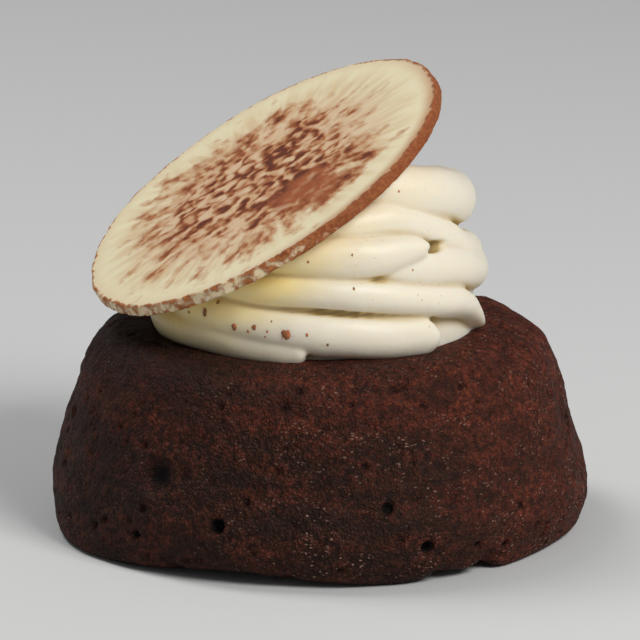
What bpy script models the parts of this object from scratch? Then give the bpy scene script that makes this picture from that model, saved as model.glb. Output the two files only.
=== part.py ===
"""Tiramisu savarin: a small chocolate cake, a piped swirl of cream and a thin leaning disc of chocolate.

Lengths are in metres and +Z is up. The origin is the middle of the cake's flat base.
"""

import math
from typing import NamedTuple

import bmesh
import bpy
from mathutils import Matrix, Vector, noise
from mathutils.bvhtree import BVHTree

MM = 0.001
CLEARANCE = 0.3 * MM  # left between pieces that rest on each other

# The cake: a low drum that narrows upwards, with round shoulders and a flat top.
CAKE_HEIGHT = 30.3 * MM
CAKE_BASE_RADIUS = 38.6 * MM
CAKE_WIDEST_RADIUS = 40.6 * MM
CAKE_WIDEST_HEIGHT = 6.4 * MM
CAKE_TOP_RADIUS = 33.6 * MM
BASE_ROUNDING = 2.2 * MM
BELLY_ROUNDING = 12.0 * MM
SHOULDER_ROUNDING = 7.5 * MM
CAKE_SEGMENTS = 116
CAKE_LONGEST_EDGE = 2.4 * MM


class Push(NamedTuple):
    """Where the baked drum is fuller or slimmer than a true round, in degrees and mm."""

    azimuth: float
    height: float
    spread_round: float
    spread_up: float
    outwards: float


class Lift(NamedTuple):
    """Where the drum's lower edge curls up off the table, in degrees and mm."""

    azimuth: float
    spread_round: float
    up: float


PUSHES = (
    Push(206.0, 0.0, 24.0, 5.0, 2.7),
    Push(183.0, 14.0, 38.0, 9.0, 0.65),
    Push(330.0, 0.5, 16.0, 4.0, -0.7),
    Push(354.0, 12.0, 34.0, 6.0, -1.2),
    Push(0.0, 20.0, 30.0, 6.0, -0.4),
    Push(10.0, 31.0, 45.0, 5.0, -1.9),
)
LIFTS = (
    Lift(250.0, 21.0, 1.65),
    Lift(298.0, 6.0, 1.2),
    Lift(307.5, 4.0, 1.5),
)
PUSH_INNER_RADIUS = 20.0 * MM  # the pushes fade out between these two
PUSH_OUTER_RADIUS = 30.0 * MM
LIFT_INNER_RADIUS = 27.0 * MM  # and the lifts between these two, and up to that height
LIFT_OUTER_RADIUS = 36.0 * MM
LIFT_REACH = 7.0 * MM

# The baked crust: a slow unevenness and gentle crags, none of it under the cream.
SWELL_HEIGHT = 1.0 * MM
SWELL_SIZE = 24.0 * MM
CRAG_HEIGHT = 0.30 * MM
CRAG_SIZE = 6.0 * MM
BED_RADIUS = 26.1 * MM  # the flat round that the cream sits on
BED_FADE = 3.0 * MM  # over which the relief rises from nothing beside the bed
BASE_FLAT = 0.2 * MM  # the relief rises between these two heights
BASE_FADE = 2.5 * MM
TOP_FADE = 2.0 * MM  # and falls to nothing over this much below the top, if over the bed

# The cream: rounded ribs that wind down to the right about a core, all one soft body.
RIB_REACH = 25.1 * MM  # how far the ribs stand from the axis, at their fullest
RIB_FULLEST_HEIGHT = 37.0 * MM
RIB_DRAW_IN = 12.5  # per metre: how fast the swirl narrows above and below that height
RIB_DEPTH = 6.0 * MM  # how far a rib's flat sides run inwards
RIB_ROUNDNESS = 0.9  # how far a rib bulges, as a share of its half width
RIB_STEPS = 40
RIB_ARC_STEPS = 10
RIB_CLOSING_HEIGHT = 52.0 * MM
RIB_CLOSE_IN = 625.0  # per metre: how fast the swirl closes over, above that height
CORE_OUTLINE = ((23.3, 28.0), (22.9, 38.0), (21.4, 44.0), (18.4, 50.6), (12.0, 55.0), (0.0, 57.5))  # mm
CORE_SEGMENTS = 48
LEAST_RIB_SHARE = 0.02  # of a rib's width, left at its very ends
NET_COLUMNS = 108
NET_ROWS_BELOW = 11
NET_ROWS_ABOVE = 32
NET_CENTRE_HEIGHT = 41.0 * MM
NET_RAY_START = 60.0 * MM  # from the axis, well outside the cream
NET_SMOOTHING = 2  # rounds


class Rib(NamedTuple):
    """One rib: points on its crest as (azimuth in degrees, height in mm), and its sizes in mm."""

    crest: tuple
    half_width: float
    stand_out: float = 0.0  # beyond the reach of the swirl as a whole
    head_length: float = 5.0  # over which it swells out of the core at its upper end
    foot_length: float = 6.0  # over which it tapers at its foot


RIBS = (
    Rib(
        crest=((10, 56.8), (50, 53.8), (90, 49.0), (150, 38.8), (190, 32.8), (225, 32.7), (265, 31.2)),
        half_width=3.0,
        stand_out=0.9,
        foot_length=3.5,
    ),
    Rib(
        crest=((60, 56.8), (95, 54.0), (130, 49.5), (170, 42.5), (226, 36.4), (270, 34.2), (315, 32.4)),
        half_width=3.5,
        stand_out=0.9,
        foot_length=3.5,
    ),
    Rib(
        crest=(
            (120, 56.5),
            (150, 52.0),
            (190, 45.0),
            (237, 40.9),
            (275, 40.2),
            (318, 37.3),
            (336, 35.2),
            (351, 30.8),
        ),
        half_width=2.6,
        stand_out=0.5,
        foot_length=12.0,
    ),
    Rib(
        crest=((190, 52.0), (235, 46.6), (260, 45.4), (285, 45.0), (309, 46.3)),
        half_width=3.8,
        stand_out=0.7,
        foot_length=9.0,
    ),
    Rib(
        crest=((290, 43.0), (320, 42.0), (351, 39.5), (390, 35.6), (424, 31.2)),
        half_width=3.7,
        stand_out=0.1,
        head_length=11.0,
    ),
    Rib(
        crest=((240, 51.0), (280, 49.2), (302, 49.3), (329, 45.7), (351, 41.9), (405, 38.2), (472, 31.2)),
        half_width=3.3,
        stand_out=-0.6,
    ),
    Rib(
        crest=(
            (215, 57.0),
            (255, 55.8),
            (295, 54.2),
            (326, 52.4),
            (359, 49.4),
            (400, 46.9),
            (450, 42.0),
            (525, 31.2),
        ),
        half_width=4.0,
        stand_out=0.1,
    ),
)
HEAD_DIVE = 2.0 * MM  # how deep in the core a rib's upper end starts

# The disc of chocolate, which leans on the swirl.
DISC_RADIUS = 30.0 * MM
DISC_THICKNESS = 1.9 * MM
DISC_EDGE_ROUNDING = 0.45 * MM
DISC_TOP_CENTRE = Vector((-8.7, 1.5, 51.7)) * MM
DISC_TILT = math.radians(32.2)
DISC_FACING = math.radians(200.0)  # the way its upper face leans, from +X towards +Y
DISC_SEGMENTS = 72
DISC_RINGS = 4
DISC_WARP = 0.25 * MM
DISC_WARP_SIZE = 20.0 * MM


def clear_scene():
    """Remove every object that is already in the scene."""
    for obj in list(bpy.data.objects):
        bpy.data.objects.remove(obj, do_unlink=True)


def make_material(name, colour, roughness):
    """Return a plain Principled material."""
    material = bpy.data.materials.new(name)
    material.use_nodes = True
    shader = material.node_tree.nodes["Principled BSDF"]
    shader.inputs["Base Color"].default_value = (*colour, 1.0)
    shader.inputs["Roughness"].default_value = roughness
    shader.inputs["Metallic"].default_value = 0.0
    return material


def add_object(name, shape, material=None):
    """Put a bmesh in the scene as a named, smooth-shaded object."""
    mesh = bpy.data.meshes.new(name)
    shape.to_mesh(mesh)
    shape.free()
    mesh.shade_smooth()
    obj = bpy.data.objects.new(name, mesh)
    bpy.context.scene.collection.objects.link(obj)
    if material:
        mesh.materials.append(material)
    return obj


def smooth_step(value, low, high):
    """Return 0 below low, 1 above high, and an even ease between them."""
    share = min(1.0, max(0.0, (value - low) / (high - low)))
    return share * share * (3.0 - 2.0 * share)


def rounded(corners, steps):
    """Return an open outline whose inner corners, given as (point, radius), are rounded by arcs."""
    outline = [Vector(corners[0][0])]
    for (before, _), (corner, radius), (after, _) in zip(corners, corners[1:], corners[2:]):
        corner = Vector(corner)
        back = (Vector(before) - corner).normalized()
        ahead = (Vector(after) - corner).normalized()
        half = back.angle(ahead) / 2
        centre = corner + (back + ahead).normalized() * radius / math.sin(half)
        first = corner + back * radius / math.tan(half) - centre
        last = corner + ahead * radius / math.tan(half) - centre
        outline += [centre + first.slerp(last, i / steps) * radius for i in range(steps + 1)]
    outline.append(Vector(corners[-1][0]))
    return outline


def spaced(outline, longest):
    """Split the outline's longer stretches, so that no edge is longer than asked."""
    points = [outline[0]]
    for start, end in zip(outline, outline[1:]):
        count = max(1, math.ceil((end - start).length / longest))
        points += [start.lerp(end, i / count) for i in range(1, count + 1)]
    return points


def turned(outline, segments):
    """Return a closed bmesh of the outline of (radius, height) points, turned about the Z axis."""
    shape = bmesh.new()
    points = [shape.verts.new((radius, 0.0, height)) for radius, height in outline]
    edges = [shape.edges.new(pair) for pair in zip(points, points[1:])]
    bmesh.ops.spin(
        shape, geom=points + edges, axis=(0, 0, 1), cent=(0, 0, 0), steps=segments, angle=math.tau
    )
    bmesh.ops.remove_doubles(shape, verts=shape.verts, dist=0.01 * MM)
    bmesh.ops.recalc_face_normals(shape, faces=shape.faces)
    return shape


def cake_outline():
    """Return the cake's outline, from the middle of its base to the middle of its top."""
    corners = [
        ((0.0, 0.0), 0.0),
        ((CAKE_BASE_RADIUS, 0.0), BASE_ROUNDING),
        ((CAKE_WIDEST_RADIUS, CAKE_WIDEST_HEIGHT), BELLY_ROUNDING),
        ((CAKE_TOP_RADIUS, CAKE_HEIGHT), SHOULDER_ROUNDING),
        ((0.0, CAKE_HEIGHT), 0.0),
    ]
    outline = rounded(corners, steps=4)
    lift_start = Vector((LIFT_INNER_RADIUS, 0.0))
    lift_middle = Vector(((LIFT_INNER_RADIUS + LIFT_OUTER_RADIUS) / 2, 0.0))
    underside = [outline[0], lift_start, lift_middle]
    return underside + spaced(outline[1:-1], CAKE_LONGEST_EDGE) + outline[-1:]


def baked_relief(point):
    """Return how far the baked crust stands out of the smooth drum at a point."""
    swell = SWELL_HEIGHT * noise.noise(point / SWELL_SIZE + Vector((3.1, 0.4, 1.7)))
    return swell + CRAG_HEIGHT * noise.fractal(point / CRAG_SIZE, 1.0, 2.0, 2)


def build_cake():
    """Build the cake: one solid, flat below and where the cream sits, uneven elsewhere."""
    shape = turned(cake_outline(), CAKE_SEGMENTS)
    moves = {}
    for vertex in shape.verts:
        above_base = smooth_step(vertex.co.z, BASE_FLAT, BASE_FADE)
        off_bed = max(
            smooth_step(vertex.co.to_2d().length, BED_RADIUS, BED_RADIUS + BED_FADE),
            smooth_step(CAKE_HEIGHT - vertex.co.z, BASE_FLAT, TOP_FADE),
        )
        moves[vertex] = vertex.normal * baked_relief(vertex.co) * above_base * off_bed
    for vertex, move in moves.items():
        vertex.co = settled(vertex.co + move)
    centre_on_origin(shape)
    return add_object("cake", shape, make_material("chocolate_sponge", (0.045, 0.016, 0.010), 0.75))


def beside(azimuth, middle, spread):
    """Return 1 at the middle azimuth, falling off evenly on both sides of it, all in degrees."""
    away = (azimuth - middle + 180.0) % 360.0 - 180.0
    return math.exp(-((away / spread) ** 2))


def settled(point):
    """Return where a point of the true round lies in the real, slightly sunken and lopsided drum."""
    azimuth = math.degrees(math.atan2(point.y, point.x))
    flat = Vector((point.x, point.y, 0.0))
    outwards = 0.0
    for push in PUSHES:
        share = beside(azimuth, push.azimuth, push.spread_round)
        share *= math.exp(-(((point.z / MM - push.height) / push.spread_up) ** 2))
        outwards += share * push.outwards * MM
    outwards *= smooth_step(flat.length, PUSH_INNER_RADIUS, PUSH_OUTER_RADIUS)
    near_edge = smooth_step(flat.length, LIFT_INNER_RADIUS, LIFT_OUTER_RADIUS)
    near_edge *= 1.0 - smooth_step(point.z, 0.0, LIFT_REACH)
    up = sum(beside(azimuth, lift.azimuth, lift.spread_round) * lift.up * MM for lift in LIFTS)
    return point + flat.normalized() * outwards + Vector((0.0, 0.0, up * near_edge))


def centre_on_origin(shape):
    """Move a shape level, so that the middle of its outline lies over the origin."""
    low = Vector([min(vertex.co[axis] for vertex in shape.verts) for axis in range(3)])
    high = Vector([max(vertex.co[axis] for vertex in shape.verts) for axis in range(3)])
    middle = (low + high) / 2
    bmesh.ops.translate(shape, verts=shape.verts, vec=(-middle.x, -middle.y, 0.0))


def along_curve(points, share):
    """Return the place at a share of the way along a smooth curve through the points."""
    place = share * (len(points) - 1)
    i = min(int(place), len(points) - 2)
    before = Vector(points[max(i - 1, 0)])
    start = Vector(points[i])
    end = Vector(points[i + 1])
    after = Vector(points[min(i + 2, len(points) - 1)])
    t = place - i
    out = (end - before) / 2
    arrive = (after - start) / 2
    lift = start * (2 * t**3 - 3 * t**2 + 1) + out * (t**3 - 2 * t**2 + t)
    return lift + end * (3 * t**2 - 2 * t**3) + arrive * (t**3 - t**2)


def rib_section(half_width):
    """Return a rib's section as (outwards, up) from its crest: a round face between two flat sides."""
    bulge = half_width * RIB_ROUNDNESS
    face = []
    for i in range(RIB_ARC_STEPS + 1):
        turn = math.pi * (i / RIB_ARC_STEPS - 0.5)
        face.append((bulge * (math.cos(turn) - 1.0), half_width * math.sin(turn)))
    inner = -bulge - RIB_DEPTH
    return face + [(inner, half_width), (inner, -half_width)]


def swelling(distance, length):
    """Return 0 at a rib's end, rising in a round curve to 1 at the length from it."""
    return math.sqrt(max(0.0, 1.0 - max(0.0, 1.0 - distance / length) ** 2))


def swirl_reach(height):
    """Return how far from the axis a rib's crest stands at a height."""
    drawn_in = RIB_DRAW_IN * (height - RIB_FULLEST_HEIGHT) ** 2
    return RIB_REACH - drawn_in - RIB_CLOSE_IN * max(0.0, height - RIB_CLOSING_HEIGHT) ** 2


def add_rib(shape, rib):
    """Add one rib to the bmesh: a row of sections along its crest, closed at both ends."""
    rings = []
    for i in range(RIB_STEPS + 1):
        azimuth, height = along_curve(rib.crest, (1.0 - math.cos(math.pi * i / RIB_STEPS)) / 2)
        angle = math.radians(azimuth)
        reach = swirl_reach(height * MM)
        from_head = math.radians(azimuth - rib.crest[0][0]) * reach / MM
        to_foot = math.radians(rib.crest[-1][0] - azimuth) * reach / MM
        head = swelling(from_head, rib.head_length)
        size = rib.half_width * MM * max(LEAST_RIB_SHARE, head * swelling(to_foot, rib.foot_length))
        crest_radius = reach + rib.stand_out * MM - HEAD_DIVE * (1.0 - head)
        ring = []
        for out, up in rib_section(size):
            radius = crest_radius + out
            place = (radius * math.cos(angle), radius * math.sin(angle), height * MM + up)
            ring.append(shape.verts.new(place))
        rings.append(ring)
    for ring, following in zip(rings, rings[1:]):
        for j, corner in enumerate(ring):
            shape.faces.new((ring[j - 1], corner, following[j], following[j - 1]))
    shape.faces.new(rings[0])
    shape.faces.new(rings[-1])


def swirl_form():
    """Return a tree of the swirl's ribs and core, to draw the skin of the cream in onto."""
    shape = bmesh.new()
    for rib in RIBS:
        add_rib(shape, rib)
    core = [shape.verts.new((radius * MM, 0.0, height * MM)) for radius, height in CORE_OUTLINE]
    edges = [shape.edges.new(pair) for pair in zip(core, core[1:])]
    bmesh.ops.spin(
        shape, geom=core + edges, axis=(0, 0, 1), cent=(0, 0, 0), steps=CORE_SEGMENTS, angle=math.tau
    )
    form = BVHTree.FromBMesh(shape)
    shape.free()
    return form


def net_rays():
    """Return the net's rows as (height, elevation): level rays low down, fanned out above."""
    foot = CAKE_HEIGHT + CLEARANCE
    rows = []
    for i in range(NET_ROWS_BELOW):
        rows.append((foot + (NET_CENTRE_HEIGHT - foot) * i / NET_ROWS_BELOW, 0.0))
    for i in range(NET_ROWS_ABOVE):
        rows.append((NET_CENTRE_HEIGHT, math.pi / 2 * i / NET_ROWS_ABOVE))
    return rows


def build_cream():
    """Build the cream: a net of quads drawn in onto the swirl, cut flat where the disc lies on it."""
    form = swirl_form()
    shape = bmesh.new()
    rows = []
    for height, elevation in net_rays():
        row = []
        for j in range(NET_COLUMNS):
            angle = math.tau * j / NET_COLUMNS
            flat = math.cos(elevation)
            outwards = Vector((flat * math.cos(angle), flat * math.sin(angle), math.sin(elevation)))
            centre = Vector((0.0, 0.0, height))
            hit = form.ray_cast(centre + outwards * NET_RAY_START, -outwards)[0]
            row.append(shape.verts.new(hit))
        rows.append(row)
    for row, above in zip(rows, rows[1:]):
        for j in range(NET_COLUMNS):
            shape.faces.new((row[j - 1], row[j], above[j], above[j - 1]))
    shape.faces.new(rows[0])
    shape.faces.new(rows[-1])
    above_foot = [vertex for row in rows[1:] for vertex in row]
    for _ in range(NET_SMOOTHING):
        bmesh.ops.smooth_vert(
            shape, verts=above_foot, factor=0.5, use_axis_x=True, use_axis_y=True, use_axis_z=True
        )
    bmesh.ops.recalc_face_normals(shape, faces=shape.faces)
    press_flat(shape)
    return add_object("cream", shape, make_material("mascarpone_cream", (0.86, 0.80, 0.66), 0.45))


def press_flat(shape):
    """Cut off all that would reach past the disc's underside, less the clearance, and close the cut."""
    frame = disc_frame()
    cut = bmesh.ops.bisect_plane(
        shape,
        geom=shape.verts[:] + shape.edges[:] + shape.faces[:],
        dist=0.02 * MM,
        plane_co=frame @ Vector((0.0, 0.0, -DISC_THICKNESS - CLEARANCE)),
        plane_no=frame.to_3x3() @ Vector((0.0, 0.0, 1.0)),
        clear_outer=True,
    )
    rim = [item for item in cut["geom_cut"] if isinstance(item, bmesh.types.BMEdge)]
    bmesh.ops.edgeloop_fill(shape, edges=rim)
    bmesh.ops.recalc_face_normals(shape, faces=shape.faces)


def disc_frame():
    """Return the disc's placement: its upper face's middle, with local +Z out of that face."""
    turn = Matrix.Rotation(DISC_FACING, 4, "Z") @ Matrix.Rotation(DISC_TILT, 4, "Y")
    return Matrix.Translation(DISC_TOP_CENTRE) @ turn


def build_disc():
    """Build the thin round of chocolate: softly rounded at its rim, very slightly warped, leaning."""
    rim_drop = DISC_EDGE_ROUNDING
    corners = [
        ((0.0, -DISC_THICKNESS), 0.0),
        ((DISC_RADIUS, -DISC_THICKNESS), rim_drop),
        ((DISC_RADIUS, 0.0), rim_drop),
        ((0.0, 0.0), 0.0),
    ]
    shape = turned(spaced(rounded(corners, steps=2), DISC_RADIUS / DISC_RINGS), DISC_SEGMENTS)
    for vertex in shape.verts:
        vertex.co.z += DISC_WARP * noise.noise(vertex.co.to_2d().to_3d() / DISC_WARP_SIZE)
    disc = add_object("chocolate_disc", shape, make_material("white_chocolate", (0.80, 0.70, 0.45), 0.4))
    disc.matrix_world = disc_frame()
    return disc


def main():
    """Build the savarin."""
    clear_scene()
    build_cake()
    build_cream()
    build_disc()


main()
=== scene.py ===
"""Dress the tiramisu savarin: moist chocolate sponge, piped cream and a cocoa-streaked chocolate disc.

Lengths are in metres and +Z is up. The origin is the middle of the cake's base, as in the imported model.
"""

import logging
import math
from collections.abc import Iterable
from dataclasses import dataclass
from enum import Enum
from typing import NamedTuple

import bmesh
import bpy
import numpy as np
from mathutils import Matrix, Vector, noise
from mathutils.bvhtree import BVHTree
from mathutils.kdtree import KDTree

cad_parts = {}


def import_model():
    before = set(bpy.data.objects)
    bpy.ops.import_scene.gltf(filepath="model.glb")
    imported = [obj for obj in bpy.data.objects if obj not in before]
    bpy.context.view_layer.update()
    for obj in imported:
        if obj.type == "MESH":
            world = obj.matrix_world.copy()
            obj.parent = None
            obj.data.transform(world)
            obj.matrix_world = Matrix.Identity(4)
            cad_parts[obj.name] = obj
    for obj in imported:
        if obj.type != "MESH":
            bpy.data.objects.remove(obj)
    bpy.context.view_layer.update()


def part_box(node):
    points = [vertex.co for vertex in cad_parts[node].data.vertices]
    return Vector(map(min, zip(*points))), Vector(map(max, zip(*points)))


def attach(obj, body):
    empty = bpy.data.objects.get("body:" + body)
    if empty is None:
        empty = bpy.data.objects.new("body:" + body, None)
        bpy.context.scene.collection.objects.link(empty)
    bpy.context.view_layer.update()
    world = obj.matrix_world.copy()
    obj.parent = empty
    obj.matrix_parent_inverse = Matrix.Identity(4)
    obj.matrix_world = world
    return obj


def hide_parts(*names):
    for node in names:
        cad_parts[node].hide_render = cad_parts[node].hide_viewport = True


MM = 0.001
TINY = 1e-9
TINIER = 1e-12
LOG = logging.getLogger("savarin")

Colour = tuple[float, float, float, float]
Socket = bpy.types.NodeSocket
Value = Socket | Vector | tuple[float, ...] | float
Setting = str | bpy.types.NodeTree
Flat = tuple[Socket, Socket]


def colour(red: int, green: int, blue: int) -> Colour:
    """Return a colour's linear values.

    Args:
        red: the everyday red value, from 0 to 255.
        green: the green value.
        blue: the blue value.

    Returns:
        The linear red, green and blue, and full opacity.
    """
    shares = [channel / 255 for channel in (red, green, blue)]
    linear = [c / 12.92 if c <= 0.04045 else ((c + 0.055) / 1.055) ** 2.4 for c in shares]
    return (linear[0], linear[1], linear[2], 1.0)


def eased(value: np.ndarray, low: float, high: float) -> np.ndarray:
    """Return 0 below low, 1 above high and an even ease between them.

    Args:
        value: the numbers to ease.
        low: where the rise starts.
        high: where it ends.

    Returns:
        The eased numbers.
    """
    share = np.clip((value - low) / (high - low), 0.0, 1.0)
    return share * share * (3.0 - 2.0 * share)


def beside(azimuth: np.ndarray, middle: float, spread: float) -> np.ndarray:
    """Return 1 at the middle azimuth, falling off evenly on both sides of it.

    Args:
        azimuth: the azimuths, in degrees.
        middle: where the result is 1.
        spread: how fast it falls off.

    Returns:
        The shares.
    """
    away = (azimuth - middle + 180.0) % 360.0 - 180.0
    return np.exp(-((away / spread) ** 2))


# Outlines and skins


def rounded(corners: list[tuple[tuple[float, float], float]], steps: int) -> list[Vector]:
    """Return an open outline with its inner corners rounded by arcs.

    Args:
        corners: each corner's point, and the radius that rounds it.
        steps: how many straight steps each arc has.

    Returns:
        The outline's points.
    """
    outline = [Vector(corners[0][0])]
    for (before, _), (corner, radius), (after, _) in zip(corners, corners[1:], corners[2:]):
        place = Vector(corner)
        back = (Vector(before) - place).normalized()
        ahead = (Vector(after) - place).normalized()
        half = back.angle(ahead) / 2
        centre = place + (back + ahead).normalized() * radius / math.sin(half)
        first = place + back * radius / math.tan(half) - centre
        last = place + ahead * radius / math.tan(half) - centre
        outline += [centre + first.slerp(last, i / steps) * radius for i in range(steps + 1)]
    outline.append(Vector(corners[-1][0]))
    return outline


def paced(outline: list[Vector], stretches: list[tuple[float, float]]) -> tuple[np.ndarray, np.ndarray]:
    """Walk along an outline, and put down points at the pace asked for in each stretch.

    Args:
        outline: the points of (radius, height) to walk along.
        stretches: each stretch's end, as a distance along the outline, and the pace up to there.

    Returns:
        The points, and how far along the outline each one is.
    """
    path = np.array([tuple(point) for point in outline])
    along = np.concatenate(([0.0], np.cumsum(np.linalg.norm(np.diff(path, axis=0), axis=1))))
    marks = [0.0]
    for end, pace in stretches:
        start = marks[-1]
        reach = min(end, along[-1]) - start
        count = max(1, math.ceil(reach / pace))
        marks += [start + reach * i / count for i in range(1, count + 1)]
    distances = np.array(marks)
    points = np.stack([np.interp(distances, along, path[:, axis]) for axis in range(2)], 1)
    return points, distances


class Net:
    """A closed skin: rows of points that run round the Z axis, from a bottom pole to a top pole."""

    def __init__(self, points: np.ndarray, bottom: Vector, top: Vector) -> None:
        """Keep the rows.

        Args:
            points: the places by row, column and axis.
            bottom: the pole under the first row.
            top: the pole over the last one.
        """
        self.points = points
        self.bottom = bottom
        self.top = top

    @classmethod
    def turned(cls, outline: np.ndarray, columns: int) -> "Net":
        """Return the skin that an outline sweeps.

        Args:
            outline: (radius, height) points, from the middle of the base to the middle of the top.
            columns: how many columns go round.

        Returns:
            The skin.
        """
        turn = np.linspace(0.0, math.tau, columns, endpoint=False)
        radius, height = outline[1:-1, 0:1], outline[1:-1, 1:2]
        level = np.repeat(height, columns, axis=1)
        points = np.stack([radius * np.cos(turn), radius * np.sin(turn), level], axis=2)
        return cls(points, Vector((0, 0, outline[0, 1])), Vector((0, 0, outline[-1, 1])))

    def normals(self) -> np.ndarray:
        """Return the skin's normals.

        Returns:
            The outward normal at each point of the rows.
        """
        round_way = np.roll(self.points, -1, axis=1) - np.roll(self.points, 1, axis=1)
        up_way = np.gradient(self.points, axis=0)
        normals = np.cross(round_way, up_way)
        return normals / np.maximum(np.linalg.norm(normals, axis=2, keepdims=True), TINIER)

    def relax(self, rounds: int) -> None:
        """Smooth the rows, each point half way towards its neighbours' middle.

        Args:
            rounds: how many times.
        """
        for _ in range(rounds):
            across = (np.roll(self.points, 1, axis=1) + np.roll(self.points, -1, axis=1)) / 2
            over = self.points.copy()
            over[1:-1] = (self.points[:-2] + self.points[2:]) / 2
            self.points = (self.points + (across + over) / 2) / 2

    def faces(self) -> list[tuple[int, ...]]:
        """Return the skin's faces.

        Returns:
            Each face's points by number, with the poles numbered after the points of the rows.
        """
        rows, columns = self.points.shape[:2]
        low_pole = rows * columns
        faces: list[tuple[int, ...]] = []
        for c in range(columns):
            following = (c + 1) % columns
            faces.append((low_pole, following, c))
            last = (rows - 1) * columns
            faces.append((last + c, last + following, low_pole + 1))
        for r in range(rows - 1):
            here, above = r * columns, (r + 1) * columns
            faces += [(here + c, here + c + 1, above + c + 1, above + c) for c in range(columns - 1)]
            faces.append((here + columns - 1, here, above, above + columns - 1))
        return faces

    def mesh(self, name: str, values: dict[str, np.ndarray]) -> bpy.types.Mesh:
        """Make a smooth-shaded mesh of the skin.

        Args:
            name: the mesh's name.
            values: numbers to keep at the points of the rows, by name.

        Returns:
            The mesh.
        """
        places = np.vstack([self.points.reshape(-1, 3), tuple(self.bottom), tuple(self.top)])
        made = bpy.data.meshes.new(name)
        made.from_pydata(places.tolist(), [], self.faces())
        made.shade_smooth()
        for key, numbers in values.items():
            full = np.concatenate([numbers.ravel(), numbers[0, :1], numbers[-1, :1]])
            kept = made.attributes.new(key, "FLOAT", "POINT")
            kept.data.foreach_set("value", full.astype(np.float32))
        return made


def placed(mesh: bpy.types.Mesh, material: bpy.types.Material) -> bpy.types.Object:
    """Put a mesh in the scene as an object of the same name.

    Args:
        mesh: the mesh, with its place in its points.
        material: what it is made of.

    Returns:
        The object.
    """
    mesh.materials.append(material)
    piece = bpy.data.objects.new(mesh.name, mesh)
    bpy.context.scene.collection.objects.link(piece)
    return piece


class Bumps(NamedTuple):
    """Random bumps: their height, the coarsest ones' size, their layers and their place in the noise."""

    height: float
    size: float
    layers: int
    place: tuple[float, float, float] = (0.0, 0.0, 0.0)

    def at(self, points: np.ndarray) -> np.ndarray:
        """Return how far the bumps stand out at each point.

        Args:
            points: places by row, column and axis.

        Returns:
            Metres by row and column, up to about the height to either side of 0.
        """
        shift = Vector(self.place)
        flat = (points / self.size).reshape(-1, 3)
        values = [noise.fractal(Vector(place) + shift, 1.0, 2.0, self.layers) for place in flat]
        return np.array(values).reshape(points.shape[:2]) * self.height


# Materials


class Ramp(NamedTuple):
    """How one value makes another: low up to the start, high from the end on, and eased between them."""

    start: float
    end: float
    low: float = 0.0
    high: float = 1.0


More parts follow.
